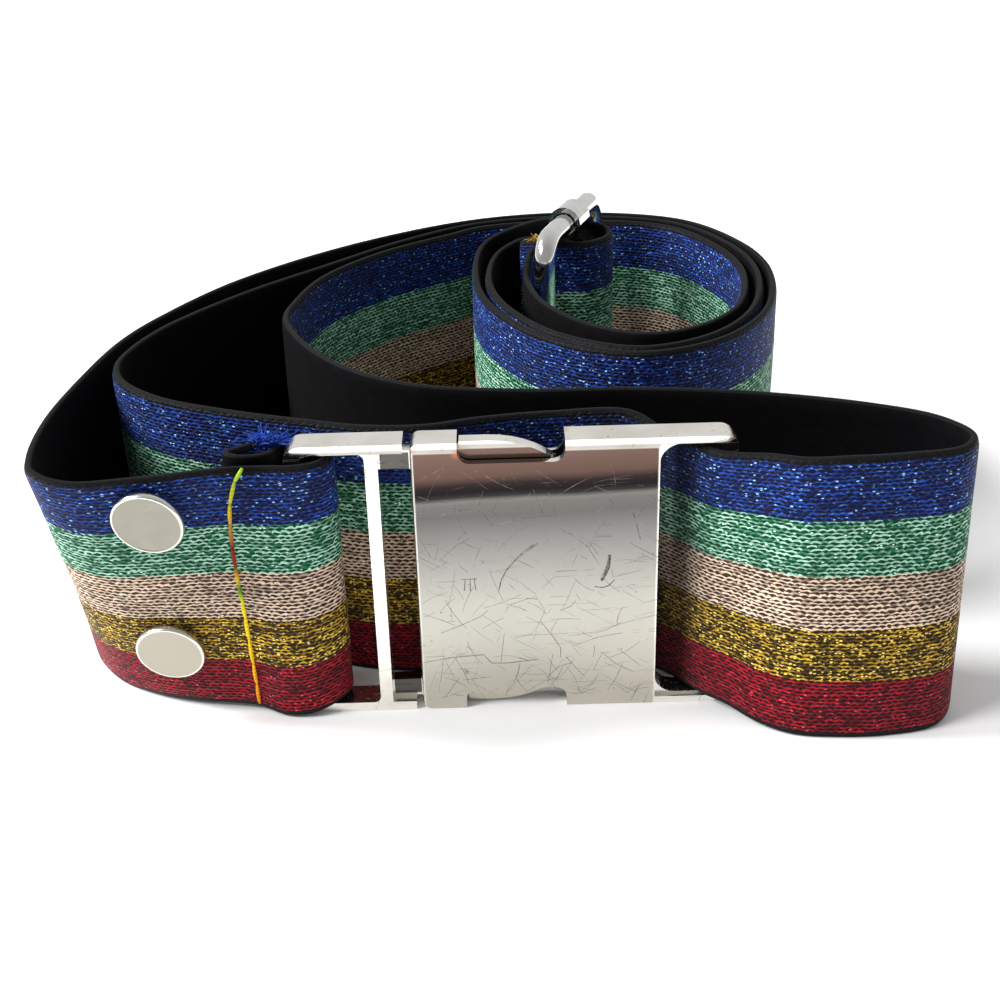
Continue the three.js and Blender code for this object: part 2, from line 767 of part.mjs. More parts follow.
// The centre bar, with a collar round the wire at its top and bottom.
function slideBar() {
  const wireRadius = wireDiameter / 2;
  const low = wireRadius;
  const high = slideLift + bandWidth + pieceGap + wireRadius;
  const hole = wireRadius + pieceGap;
  const rod = (radius, length, sides) => new THREE.CylinderGeometry(radius, radius, length, sides);
  const levelled = (geometry, level) => {
    geometry.rotateZ(THREE.MathUtils.degToRad(-slideTurn));
    geometry.translate(slideCentre.x, slideCentre.y, level);
    return solid(geometry);
  };
  const bar = rod(slideBarDiameter / 2, high - low - 2 * hole, 12);
  bar.rotateX(Math.PI / 2);
  const collars = [low, high].map((level) => levelled(rod(hole + collarWall, collarLength, 16), level));
  const bores = [low, high].map((level) => levelled(rod(hole, collarLength + 2 * cutMargin, 12), level));
  const joined = collars.reduce((all, collar) => all.add(collar), levelled(bar, (low + high) / 2));
  const aboveFloor = block(
    slideCentre.x - planWidth,
    slideCentre.x + planWidth,
    slideCentre.y - planDepth,
    slideCentre.y + planDepth,
    0,
    high + bandWidth
  );
  return bores.reduce((rest, bore) => rest.subtract(bore), joined).intersect(aboveFloor);
}

function piece(name, geometry, colour, roughness, metalness) {
  const flat = geometry.index ? geometry.toNonIndexed() : geometry;
  flat.computeVertexNormals();
  const material = new THREE.MeshStandardMaterial({ color: colour, roughness, metalness });
  const mesh = new THREE.Mesh(flat, material);
  mesh.name = name;
  return mesh;
}

function belt() {
  const stations = bandStations();
  const places = capPlaces.map(({ along, up }) => frontWallPlace(stations, along, up));
  const parts = new THREE.Group();
  parts.add(piece("elastic_band", geometryOf(elasticBand(stations, places)), colours.band, 0.85, 0));
  parts.add(piece("buckle_plate", geometryOf(bucklePlate()), colours.nickel, 0.3, 1));
  parts.add(piece("buckle_frame", geometryOf(buckleFrame()), colours.nickel, 0.3, 1));
  capPlaces.forEach(({ name }, i) => {
    parts.add(piece(`snap_cap_${name}`, snapCap(places[i]), colours.snap, 0.25, 1));
    parts.add(piece(`snap_socket_${name}`, snapSocket(places[i]), colours.snap, 0.4, 1));
  });
  parts.add(piece("slide_frame", slideWire(), colours.slide, 0.2, 1));
  parts.add(piece("slide_bar", geometryOf(slideBar()), colours.slide, 0.25, 1));
  const box = new THREE.Box3().setFromObject(parts);
  const middle = box.getCenter(new THREE.Vector3());
  parts.position.set(-middle.x, -middle.y, -box.min.z);
  const whole = new THREE.Group();
  whole.add(parts);
  return whole;
}

export default belt();
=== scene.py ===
# Elastic stretch belt: striped metallic knit, worn nickel buckle, snap caps and wire slide.
# Lengths are in millimetres up to the last step, where MM turns them into Blender's metres.
import math
import random
from functools import reduce

import bpy
from mathutils import Matrix, Vector, noise


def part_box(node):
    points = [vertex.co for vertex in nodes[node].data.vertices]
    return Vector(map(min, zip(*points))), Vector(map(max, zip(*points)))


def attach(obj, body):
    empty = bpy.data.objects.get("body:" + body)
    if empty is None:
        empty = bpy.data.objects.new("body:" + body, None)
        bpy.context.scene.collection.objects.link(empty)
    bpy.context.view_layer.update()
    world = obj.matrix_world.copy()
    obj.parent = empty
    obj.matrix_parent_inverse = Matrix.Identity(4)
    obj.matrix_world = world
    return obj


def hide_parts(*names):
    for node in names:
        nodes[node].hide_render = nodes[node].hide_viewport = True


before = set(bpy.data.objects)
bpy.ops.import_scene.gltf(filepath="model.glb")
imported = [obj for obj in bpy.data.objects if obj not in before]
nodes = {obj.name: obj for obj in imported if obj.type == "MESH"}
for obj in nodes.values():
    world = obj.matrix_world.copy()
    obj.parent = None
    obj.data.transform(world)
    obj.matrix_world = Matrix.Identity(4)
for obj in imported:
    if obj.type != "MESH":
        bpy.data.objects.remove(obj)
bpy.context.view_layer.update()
MM = 0.001
random.seed(7)

# Sizes, as in the part
BAND_WIDTH = 50
BAND_THICKNESS = 1.7
LAYER_GAP = 0.9
LAYER_PITCH = BAND_THICKNESS + LAYER_GAP
PLAN_WIDTH = 150
PLAN_DEPTH = 137
COIL_WIDTH = 60
COIL_DEPTH = 88
COIL_MIDDLE = (0.176 * PLAN_WIDTH, PLAN_DEPTH / 2 - COIL_DEPTH / 2)
PLATE_WIDTH = 39.6
BUCKLE_DEPTH = 5.2
BUCKLE_FRONT = -0.412 * PLAN_DEPTH
BAR_SETBACK = 0.9
SLOT_WIDTH = 9.8
MOUTH_GAP = 1.1
ARM_GAP_WIDTH = 4
INNER_BAR_WIDTH = 2.1
FRAME_SLOT_WIDTH = 10.1
FRAME_BAR_WIDTH = 2.8
PLATE_LEFT = 0.038 * PLAN_WIDTH - PLATE_WIDTH / 2
PLATE_RIGHT = PLATE_LEFT + PLATE_WIDTH
OUTER_BAR_LEFT = PLATE_RIGHT + SLOT_WIDTH
INNER_BAR_LEFT = PLATE_LEFT - MOUTH_GAP - ARM_GAP_WIDTH - INNER_BAR_WIDTH
FRAME_LEFT = INNER_BAR_LEFT - FRAME_SLOT_WIDTH - FRAME_BAR_WIDTH
CAP_RADIUS = 5.8
WIRE_DIAMETER = 4.4
SLIDE_HALF_WIDTH = 17
SLIDE_CORNER = 4.5
SLIDE_TURN = math.radians(20)

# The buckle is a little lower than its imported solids, and the band is gathered to fit inside it.
SOLID_HEIGHT = 51.5
BUCKLE_HEIGHT = 50.0
SLOT_LIFT = 2.0
SLOT_SHARE = 0.92

# The slide: how high it lifts the band, its middle, and its ways across and ahead
SLIDE_LIFT = WIRE_DIAMETER + 0.6
SLIDE_CENTRE = Vector((
    COIL_MIDDLE[0] - 0.17 * COIL_WIDTH,
    COIL_MIDDLE[1] + 0.153 * COIL_DEPTH,
    0,
))
SLIDE_ACROSS = Vector((math.sin(SLIDE_TURN), math.cos(SLIDE_TURN), 0))
SLIDE_AHEAD = Vector((math.cos(SLIDE_TURN), -math.sin(SLIDE_TURN), 0))

# The part is centred by its box, so its plate tells how far it was shifted.
plate_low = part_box("buckle_plate")[0] / MM
SHIFT = Vector((plate_low.x - PLATE_LEFT, plate_low.y - BUCKLE_FRONT, 0))

# The band's route. Columns: x and y of its top edge, then how far its foot stands
# off in x and y as shares of the band's width, its lift, and the share of its width that is left.
# The tail, from the plug half's left rear corner, in shares of the slot beside its bar
TAIL = [
    (-0.46, -0.17, 0, 0.12, 1.6, 0.96),
    (-0.69, -0.33, 0, 0.125, 1.6, 0.96),
    (-0.87, -0.49, 0, 0.12, 1.6, 0.96),
    (-0.71, -0.63, 0, 0.11, 1.6, 0.96),
    (-0.45, -0.57, 0, 0.1, 1.7, 0.95),
    (-0.24, -0.3, 0, 0.06, 1.9, 0.93),
    (-0.12, 0.03, 0, 0.02),
    (0.2, 0.17, 0, 0.01),
    (0.55, 0.03, 0, 0.015),
    (0.71, -0.27, 0, 0.03),
    (0.56, -0.6, 0, 0.03),
    (0.2, -0.72, 0, 0.02, 0.9, 0.94),
    (-0.3, -0.76, 0, 0.03, 0.4, 0.955),
]
# The free runs, in shares of the plan's width and depth
LEFT_FOLD = [
    (-0.283, -0.445, 0, 0.12, 0.8, 0.965),
    (-0.367, -0.466, 0.02, 0.225, 0.7, 0.97),
    (-0.44, -0.474, 0.09, 0.31, 0.3, 0.98),
    (-0.478, -0.456, 0.09, 0.335, 0.1),
    (-0.4907, -0.414, 0.045, 0.32),
    (-0.497, -0.314, 0.01, 0.18),
    (-0.488, -0.197, -0.01, 0.05),
]
OUTER_RUN = [(-0.464, -0.049), (-0.428, 0.05), (-0.346, 0.2), (-0.192, 0.368)]
MIDDLE_RUN = [(-0.4187, 0.003), (-0.337, 0.134), (-0.237, 0.2535), (-0.13, 0.3745)]
INNER_RUN = [(-0.063, 0.3985), (-0.163, 0.31), (-0.235, 0.2), (-0.264, 0.0876)]
RIGHT_LOOP = [
    (-0.269, 0.034),
    (-0.259, -0.015),
    (-0.22, -0.106),
    (-0.167, -0.179),
    (-0.093, -0.232),
    (0.026, -0.258),
    (0.16, -0.263),
    (0.293, -0.288),
    (0.413, -0.334, 0, -0.02),
    (0.471, -0.374, 0, -0.03),
    (0.494, -0.423, 0.003, -0.04),
    (0.474, -0.457, 0, -0.05),
    (0.415, -0.4705, 0, -0.06),
    (0.36, -0.4745, 0, -0.05),
    (0.315, -0.4675, 0, -0.05, 0.2, 0.985),
]
MIDDLE_LOOP = [
    (0.144, -0.326, 0, 0.02, 1.2, 0.97),
    (0.06, -0.318, 0, 0.05, 0.4, 0.98),
    (-0.025, -0.341, 0, 0.07),
    (-0.08, -0.3575, 0, 0.09),
    (-0.147, -0.354, 0, 0.1),
    (-0.213, -0.332, 0, 0.1),
    (-0.305, -0.295, 0, 0.08),
    (-0.385, -0.25, 0, 0.05),
    (-0.438, -0.188, 0.02, 0.02),
    (-0.453, -0.135, 0.01),
    (-0.447, -0.08),
]
# Round the socket half's outer bar, from its left front edge, in shares of the slot beside it
BUCKLE_SLOT = [
    (0.66, -0.58, 0, -0.045, 0.7, 0.965),
    (0.2, -0.34, 0, -0.02, 1.9, 0.925),
    (-0.12, -0.17),
    (-0.48, 0.29),
    (-0.84, 0.66),
]
# The coil's outer layer, in shares of its width and depth, and how many layers the inner one is in
COIL = [
    (-0.49, 0.466, 2.2),
    (-0.107, 0.5, 2.3),
    (0.263, 0.418, 2.2),
    (0.457, 0.198, 2.2),
    (0.5, -0.018, 2.1),
    (0.41, -0.285, 2.2),
    (0.227, -0.443, 2.9),
    (-0.013, -0.5, 3.7),
    (-0.265, -0.409, 3.9),
    (-0.437, -0.218, 3.8),
    (-0.498, -0.018, 4),
]
# Across and ahead of the slide's middle in shares of its half width, then the share of its lift
# and of the band's width. First the turn through the slide, then the band's end round its bar.
THROUGH_SLIDE = [
    (0.01, -1.11, 0.25),
    (0.36, -0.86, 0.6),
    (0.47, -0.44),
    (0.5, 0),
    (0.36, 0.35),
    (0, 0.5),
    (-0.37, 0.33),
    (-0.5, 0),
    (-0.78, -0.27, 0.8),
]
BAND_END = [
    (-0.13, -0.86, 0.3, 0.98),
    (0.11, -0.66, 0.8, 0.96),
    (0.2, -0.28, 1.2, 0.93),
    (0.205, -0.03, 1.3, 0.93),
    (0, 0.205, 1.3, 0.93),
    (-0.205, -0.03, 1.3, 0.93),
    (-0.13, -0.3, 1.3, 0.93),
    (-0.08, -0.6, 1.2, 0.93),
]


def stop(x, y, foot_x=0, foot_y=0, lift=0, width=1):
    return (x, y, x + foot_x * BAND_WIDTH, y + foot_y * BAND_WIDTH, lift, width)


def plan_stops(rows):
    return [stop(x * PLAN_WIDTH, y * PLAN_DEPTH, *rest) for x, y, *rest in rows]


def slide_stop(across, ahead, lift=1, width=1):
    place = SLIDE_CENTRE + (SLIDE_ACROSS * across + SLIDE_AHEAD * ahead) * SLIDE_HALF_WIDTH
    return stop(place.x, place.y, 0, 0, lift * SLIDE_LIFT, width)


def coil_stops(layer):
    """Stops along one layer of the coil, each moved in square to the outer layer."""
    guide = [
        Vector((COIL_MIDDLE[0] + x * COIL_WIDTH, COIL_MIDDLE[1] + y * COIL_DEPTH))
        for x, y, _ in COIL
    ]
    stops = []
    for i, (_, _, inner) in enumerate(COIL):
        along = (guide[min(i + 1, len(guide) - 1)] - guide[max(i - 1, 0)]).normalized()
        inset = {"outer": 0, "middle": 1, "inner": inner}[layer] * LAYER_PITCH
        stops.append(stop(guide[i].x + along.y * inset, guide[i].y - along.x * inset))
    return stops


def route_stops():
    tail = [
        stop(
            FRAME_LEFT + x * FRAME_SLOT_WIDTH,
            BUCKLE_FRONT + BUCKLE_DEPTH + y * FRAME_SLOT_WIDTH,
            foot_x,
            foot_y,
            *(rise or (SLOT_LIFT, SLOT_SHARE)),
        )
        for x, y, foot_x, foot_y, *rise in TAIL
    ]
    slot = [
        stop(
            OUTER_BAR_LEFT + x * SLOT_WIDTH,
            BUCKLE_FRONT + BAR_SETBACK + y * SLOT_WIDTH,
            *(rest or (0, 0, SLOT_LIFT, SLOT_SHARE)),
        )
        for x, y, *rest in BUCKLE_SLOT
    ]
    return (
        tail
        + plan_stops(LEFT_FOLD)
        + plan_stops(OUTER_RUN)
        + coil_stops("outer")
        + [slide_stop(*row) for row in THROUGH_SLIDE]
        + coil_stops("inner")[::-1]
        + plan_stops(INNER_RUN)
        + plan_stops(RIGHT_LOOP)
        + slot
        + plan_stops(MIDDLE_LOOP)
        + plan_stops(MIDDLE_RUN)
        + coil_stops("middle")
        + [slide_stop(*row) for row in BAND_END]
    )


FINEST_STEP = 0.5


def smooth_route(stops):
    """A centripetal Catmull-Rom curve through the stops, in short steps."""
    first = tuple(2 * a - b for a, b in zip(stops[0], stops[1]))
    last = tuple(2 * a - b for a, b in zip(stops[-1], stops[-2]))
    path = [first, *stops, last]
    points = []
    for p, q, r, s in zip(path, path[1:], path[2:], path[3:]):
        before, between, after = (
            math.sqrt(math.hypot(b[0] - a[0], b[1] - a[1])) for a, b in ((p, q), (q, r), (r, s))
        )
        steps = max(2, math.ceil(between**2 / FINEST_STEP))
        for k in range(steps):
            t = k / steps
            point = []
            for a, b, c, d in zip(p, q, r, s):
                leave = (b - a) / before - (c - a) / (before + between) + (c - b) / between
                enter = (c - b) / between - (d - b) / (between + after) + (d - c) / after
                m, n = leave * between, enter * between
                cubic = 2 * b - 2 * c + m + n
                square = 3 * c - 3 * b - 2 * m - n
                point.append(((cubic * t + square) * t + m) * t + b)
            points.append(point)
    return points + [list(stops[-1])]


def band_sections(step):
    """Top, foot, way across and length along, every step of the band."""
    fine = smooth_route(route_stops())
    middle = [Vector(((p[0] + p[2]) / 2, (p[1] + p[3]) / 2)) for p in fine]
    lengths = [0.0]
    for a, b in zip(middle, middle[1:]):
        lengths.append(lengths[-1] + (b - a).length)
    made = []
    count = round(lengths[-1] / step)
    j = 0
    for k in range(count + 1):
        reach = lengths[-1] * k / count
        while j < len(lengths) - 2 and lengths[j + 1] < reach:
            j += 1
        share = (reach - lengths[j]) / max(lengths[j + 1] - lengths[j], 1e-9)
        x, y, foot_x, foot_y, lift, width = (
            a + (b - a) * share for a, b in zip(fine[j], fine[j + 1])
        )
        lift, width = max(0, lift), min(1, width)
        heading = (middle[min(j + 2, len(middle) - 1)] - middle[max(j - 1, 0)]).normalized()
        top = Vector((x, y, lift + width * BAND_WIDTH)) + SHIFT
        foot = Vector((foot_x, foot_y, lift)) + SHIFT
        made.append((top, foot, Vector((-heading.y, heading.x, 0)), reach))
    return made


SECTION_STEP = 1.0
sections = band_sections(SECTION_STEP)


def past_outer_bar(start, end):
    """A stretch of the band, measured from where it passes the socket half's outer bar."""
    bar = Vector((OUTER_BAR_LEFT, BUCKLE_FRONT, 0)) + SHIFT
    nearest = min(sections, key=lambda section: (section[1].xy - bar.xy).length)[3]
    return nearest + start, nearest + end


# Painted shade: the band is darker along the stretch where it lies deep inside the buckle.
SHADED_STRETCH = past_outer_bar(2, 26)


def on_band(along, up, out=0.0):
    """A place on the band: along it, a share of its width up, and out from its middle layer."""
    i = min(max(along / SECTION_STEP, 0), len(sections) - 1.001)
    a, b = sections[int(i)], sections[int(i) + 1]
    t = i - int(i)
    top, foot, across = (a[k].lerp(b[k], t) for k in range(3))
    return foot.lerp(top, up) + across.normalized() * out


# Mesh helpers
def mesh_object(name, points, faces, material):
    mesh = bpy.data.meshes.new(name)
    mesh.from_pydata([Vector(p) * MM for p in points], [], faces)
    mesh.materials.append(material)
    mesh.polygons.foreach_set("use_smooth", [True] * len(mesh.polygons))
    mesh.update()
    thing = bpy.data.objects.new(name, mesh)
    bpy.context.scene.collection.objects.link(thing)
    return thing


def tube_mesh(points, radius, sides, closed=False):
    """Points and faces of a tube; radius is a number or one for each point."""
    count = len(points)
    radii = radius if isinstance(radius, list) else [radius] * count
    side = None
    verts, faces = [], []
    for i, p in enumerate(points):
        after = points[(i + 1) % count] if closed else points[min(i + 1, count - 1)]
        before = points[i - 1] if closed else points[max(i - 1, 0)]
        ahead = (after - before).normalized()
        if side is None:
            side = ahead.orthogonal()
        side = (side - ahead * side.dot(ahead)).normalized()
        other = ahead.cross(side)
        for k in range(sides):
            angle = 2 * math.pi * k / sides
            verts.append(p + (side * math.cos(angle) + other * math.sin(angle)) * radii[i])
    for i in range(count if closed else count - 1):
        a, b = i * sides, ((i + 1) % count) * sides
        for k in range(sides):
            n = (k + 1) % sides
            faces.append((a + k, a + n, b + n, b + k))
    if not closed:
        faces.append(tuple(range(sides))[::-1])
        faces.append(tuple((count - 1) * sides + k for k in range(sides)))
    return verts, faces


def join_meshes(parts):
    verts, faces = [], []
    for more, sides in parts:
        base = len(verts)
        verts += more
        faces += [tuple(base + i for i in face) for face in sides]
    return verts, faces


def lathe_mesh(profile, place, out, steps):
    """A profile of (radius, height) pairs turned about the way out of a place."""
    turn = Vector((0, 0, 1)).rotation_difference(out)
    verts, faces = [], []
    for k in range(steps):
        angle = 2 * math.pi * k / steps
        for radius, height in profile:
            spoke = Vector((radius * math.cos(angle), radius * math.sin(angle), height))
            verts.append(place + turn @ spoke)
    size = len(profile)
    for k in range(steps):
        a, b = k * size, ((k + 1) % steps) * size
        for i in range(size - 1):
            faces.append((a + i, b + i, b + i + 1, a + i + 1))
    return verts, faces


# Shader helpers
class Shader:
    """A material with one principled surface and short ways to add nodes."""

    def __init__(self, name):
        self.material = bpy.data.materials.new(name)
        self.material.use_nodes = True
        self.tree = self.material.node_tree
        self.surface = self.tree.nodes["Principled BSDF"]

    def node(self, kind, inputs=None, **settings):
        made = self.tree.nodes.new("ShaderNode" + kind)
        for key, value in settings.items():
            setattr(made, key, value)
        for key, value in (inputs or {}).items():
            self.put(made.inputs[key], value)
        return made

    def put(self, socket, value):
        if isinstance(value, bpy.types.NodeSocket):
            self.tree.links.new(value, socket)
        else:
            socket.default_value = value

    def math(self, operation, a, b=0.0):
        return self.node("Math", {0: a, 1: b}, operation=operation).outputs[0]

    def add(self, a, b):
        return self.math("ADD", a, b)

    def minus(self, a, b):
        return self.math("SUBTRACT", a, b)

    def times(self, a, b):
        return self.math("MULTIPLY", a, b)

    def over(self, a, b):
        return self.math("DIVIDE", a, b)

    def product(self, factors):
        return reduce(self.times, factors)

    def most(self, values):
        return reduce(lambda a, b: self.math("MAXIMUM", a, b), values)

    def centred(self, cloud, reach):
        """A cloud from 0 to 1 as a push of up to half a reach either way."""
        return self.times(self.minus(cloud, 0.5), reach)

    def between(self, value, low, high, to_low=0.0, to_high=1.0):
        """A smooth step as a value goes from low to high."""
        inputs = {0: value, 1: low, 2: high, 3: to_low, 4: to_high}
        return self.node("MapRange", inputs, interpolation_type="SMOOTHSTEP").outputs[0]

    def mix(self, factor, a, b):
        return self.node("Mix", {0: factor, 6: a, 7: b}, data_type="RGBA").outputs[2]

    def ramp(self, factor, stops, interpolation="LINEAR"):
        """Stops of a position and a colour, or a number for a grey."""
        made = self.node("ValToRGB", {0: factor})
        ramp = made.color_ramp
        ramp.interpolation = interpolation
        while len(ramp.elements) < len(stops):
            ramp.elements.new(0.5)
        for element, (position, colour) in zip(ramp.elements, stops):
            element.position = position
            element.color = colour if isinstance(colour, tuple) else (colour, colour, colour, 1)
        return made.outputs[0]

    def parts(self, vector):
        return self.node("SeparateXYZ", {0: vector}).outputs

    def scaled(self, vector, x, y, z=1.0):
        return self.node("VectorMath", {0: vector, 1: (x, y, z)}, operation="MULTIPLY").outputs[0]

    def on_object(self):
        """The place on the object, in millimetres."""
        place = self.node("TexCoord").outputs["Object"]
        return self.scaled(place, 1 / MM, 1 / MM, 1 / MM)

    def along_band(self):
        """The place on the flat band, in millimetres: along it, and up it."""
        place = self.node("UVMap", uv_map="length_and_width").outputs[0]
        return self.scaled(place, 1 / MM, 1 / MM)

    def noise(self, place, scale, detail=2.0):
        inputs = {"Vector": place, "Scale": scale, "Detail": detail}
        return self.node("TexNoise", inputs).outputs[0]

    def cloud(self, place, x, y, z=1.0, detail=2.0):
        """Noise with as many clouds a millimetre along each axis."""
        return self.noise(self.scaled(place, x, y, z), 1.0, detail)

    def bump(self, height, distance, strength):
        inputs = {"Height": height, "Distance": distance * MM, "Strength": strength}
        self.put(self.surface.inputs["Normal"], self.node("Bump", inputs).outputs[0])

    def finish(self, colour, roughness, metallic=0.0, **plain):
        self.put(self.surface.inputs["Base Color"], colour)
        self.put(self.surface.inputs["Roughness"], roughness)
        self.surface.inputs["Metallic"].default_value = metallic
        for key, value in plain.items():
            self.surface.inputs[key.replace("_", " ")].default_value = value
        return self.material


def srgb(red, green, blue):
    """A linear colour from the 0 to 255 values of a screen colour."""
    linear = (
        ((c / 255 + 0.055) / 1.055) ** 2.4 if c > 10 else c / 255 / 12.92
        for c in (red, green, blue)
    )
    return (*linear, 1.0)


# Stripes, from the foot of the band. Columns: upper edge, yarn, deep yarn, bright thread and its
# painted glitter highlight, how much of it looks deep, and the share of bright, glittering threads.
SELVEDGE = 1.1
BLACK_YARN = (srgb(13, 13, 15), srgb(5, 5, 7), srgb(36, 36, 40), 0.4, 0.0)
STRIPES = [
    (SELVEDGE, *BLACK_YARN),
    (10.7, srgb(172, 18, 38), srgb(76, 3, 14), srgb(235, 80, 100), 0.4, 0.05),
    (20.2, srgb(206, 164, 40), srgb(58, 40, 8), srgb(255, 226, 110), 0.5, 0.25),
    (29.8, srgb(232, 205, 180), srgb(98, 78, 64), srgb(252, 238, 216), 0.2, 0.05),
    (39.4, srgb(172, 220, 196), srgb(8, 100, 62), srgb(210, 250, 232), 0.4, 0.06),
    (BAND_WIDTH - SELVEDGE, srgb(20, 68, 166), srgb(4, 18, 72), srgb(150, 205, 255), 0.5, 0.07),
    (BAND_WIDTH, *BLACK_YARN),
]
# Knit rows and scallops, in millimetres
SCALLOP_LENGTH = 1.36
ROW_HEIGHT = 0.68
ROW_WANDER = 1.0
STRIPE_WANDER = 1.0
# Strands, in shares of a row or of a scallop
SCALLOP_DEPTH = 0.34
SCALLOP_MIDDLE = 0.6
SCALLOP_JITTER = 1.6
STRAND_CORE = 0.14
STRAND_EDGE = 0.42
STRAND_RAGGED = 0.4
# Bright threads, with painted glitter highlights, are flecks that reach this far from the points of
# their grid.
FLECK_REACH = 0.4
# What darkens the knit: its holes, soot all over and painted shade inside the buckle
HOLE_SHADE = 0.72
HOLE_BLACK = (0.001, 0.001, 0.002, 1)
SOOT_SHADE = 0.25
SOOT_BLACK = (0.01, 0.01, 0.012, 1)
SLOT_SHADE_AMOUNT = 0.7
SLOT_SHADE_BLACK = (0.003, 0.003, 0.004, 1)
SLOT_SHADE_FADE = 4


def knit_strands(s, place, uneven):
    """How solid the strand is here, from hole to core, and a number of its scallop's own."""
    along, up, _ = s.parts(place)
    wander = s.cloud(place, 0.16, 0.5, detail=3.0)
    jitter = s.cloud(place, 0.35, 0.9)
    rows = s.over(s.add(up, s.centred(wander, ROW_WANDER)), ROW_HEIGHT)
    run = s.add(s.over(along, SCALLOP_LENGTH), s.times(jitter, SCALLOP_JITTER))

    def strand(number):
        """How far a strand is from here, in rows, and how far along it this is, in scallops."""
        phase = s.add(run, s.times(number, 0.5))
        scallop = s.math("ABSOLUTE", s.math("SINE", s.times(phase, math.pi)))
        level = s.times(s.minus(scallop, SCALLOP_MIDDLE), SCALLOP_DEPTH)
        return s.math("ABSOLUTE", s.minus(rows, s.add(number, level))), phase

    below = s.math("FLOOR", rows)
    (low_away, low_phase), (high_away, high_phase) = strand(below), strand(s.add(below, 1.0))
    upper = s.math("LESS_THAN", high_away, low_away)
    away = s.math("MINIMUM", low_away, high_away)
    phase = s.node("Mix", {0: upper, 2: low_phase, 3: high_phase}).outputs[0]
    cell = s.node("CombineXYZ", {0: s.math("FLOOR", phase), 1: s.add(below, upper)}).outputs[0]
    own = s.node("TexWhiteNoise", {"Vector": cell}, noise_dimensions="2D").outputs[0]
    ragged = s.add(away, s.centred(uneven, STRAND_RAGGED))
    return s.between(ragged, STRAND_CORE, STRAND_EDGE, 1.0, 0.0), own


def stripe_looks(s, height):
    """The columns of the stripe at a height: three colours and two shares."""
    starts = [0.0] + [stripe[0] / BAND_WIDTH for stripe in STRIPES[:-1]]
    share = s.over(height, BAND_WIDTH)
    return [
        s.ramp(share, [(at, stripe[k]) for at, stripe in zip(starts, STRIPES)], "CONSTANT")
        for k in range(1, len(STRIPES[0]))
    ]


def slot_shade(s, along):
    """How much painted shade the band has, fading out at both ends of its shaded stretch."""
    low, high = SHADED_STRETCH
    fade_in = s.between(along, low - SLOT_SHADE_FADE, low + SLOT_SHADE_FADE)
    fade_out = s.between(along, high + SLOT_SHADE_FADE, high - SLOT_SHADE_FADE)
    return s.times(s.times(fade_in, fade_out), SLOT_SHADE_AMOUNT)


def striped_knit():
    """Scalloped strands, each row half a scallop on from the next, with dark holes between."""
    s = Shader("striped_knit")
    place = s.along_band()
    along, up, _ = s.parts(place)
    uneven = s.cloud(place, 0.9, 2.2, detail=3.0)
    body, own = knit_strands(s, place, uneven)
    height = s.add(up, s.centred(uneven, STRIPE_WANDER))
    yarn, deep, bright, deep_share, bright_share = stripe_looks(s, height)

    patchy = s.add(s.times(own, 0.6), s.times(s.between(uneven, 0.3, 0.7), 0.4))
    lightness = s.add(s.minus(patchy, deep_share), 0.5)
    colour = s.mix(s.between(lightness, 0.25, 0.85), deep, yarn)
    # Painted sheen: patches of the bright thread's colour
    glint = s.between(s.cloud(place, 1.5, 2.8), 0.56, 0.72)
    colour = s.mix(s.times(glint, s.add(bright_share, 0.3)), colour, bright)
    colour = s.mix(s.between(body, 0.45, 1.0), deep, colour)
    hollow = s.mix(HOLE_SHADE, deep, HOLE_BLACK)
    colour = s.mix(s.between(body, 0.0, 0.5), hollow, colour)

    # Painted glitter highlights: small flecks of the bright thread's colour
    grid = {"Vector": s.scaled(place, 1.6, 3.2), "Scale": 1.0, "Randomness": 1.0}
    fleck = s.node("TexVoronoi", grid)
    chance = s.node("SeparateColor", {0: fleck.outputs[1]}).outputs[0]
    small = s.math("LESS_THAN", fleck.outputs[0], FLECK_REACH)
    lit = s.times(small, s.math("LESS_THAN", chance, bright_share))
    colour = s.mix(lit, colour, bright)

    blotch = s.between(s.cloud(place, 0.03, 0.12, detail=3.0), 0.35, 0.75, 0.0, SOOT_SHADE)
    colour = s.mix(blotch, colour, SOOT_BLACK)
    # Painted shade where the band lies deep inside the buckle
    colour = s.mix(slot_shade(s, along), colour, SLOT_SHADE_BLACK)
    s.bump(s.add(body, s.times(own, 0.25)), 0.2, 0.8)
    roughness = s.minus(0.6, s.times(lit, 0.3))
    return s.finish(
        colour, roughness, Specular_IOR_Level=0.12, Sheen_Weight=0.03, Sheen_Roughness=0.4
    )


def black_elastic():
    """The band's black back, of short flat ribs."""
    s = Shader("black_elastic")
    place = s.along_band()
    rib = s.node("TexBrick", {
        "Vector": place,
        "Color1": (0.1, 0.1, 0.1, 1),
        "Color2": (1, 1, 1, 1),
        "Mortar": (0.0, 0.0, 0.0, 1),
        "Scale": 1.0,
        "Mortar Size": 0.12,
        "Mortar Smooth": 1.0,
        "Bias": 0.0,
        "Brick Width": 1.3,
        "Row Height": 0.55,
    })
    jitter = s.cloud(place, 0.8, 0.8, detail=3.0)
    level = s.add(s.times(rib.outputs[0], 0.5), s.times(jitter, 0.5))
    colour = s.ramp(level, [(0.1, srgb(2, 2, 3)), (0.9, srgb(9, 9, 12))])
    s.bump(rib.outputs[1], 0.1, -0.5)
    return s.finish(colour, 0.8, Specular_IOR_Level=0.05, Sheen_Weight=0.01, Sheen_Roughness=0.5)


def edge_elastic():
    """The band's cut edges, with the knots of their yarn."""
    s = Shader("edge_elastic")
    knots = s.cloud(s.along_band(), 2.4, 6.0)
    colour = s.ramp(knots, [(0.3, srgb(5, 5, 6)), (0.7, srgb(22, 23, 25))])
    s.bump(knots, 0.15, 0.6)
    return s.finish(colour, 0.75, Specular_IOR_Level=0.08, Sheen_Weight=0.02, Sheen_Roughness=0.5)


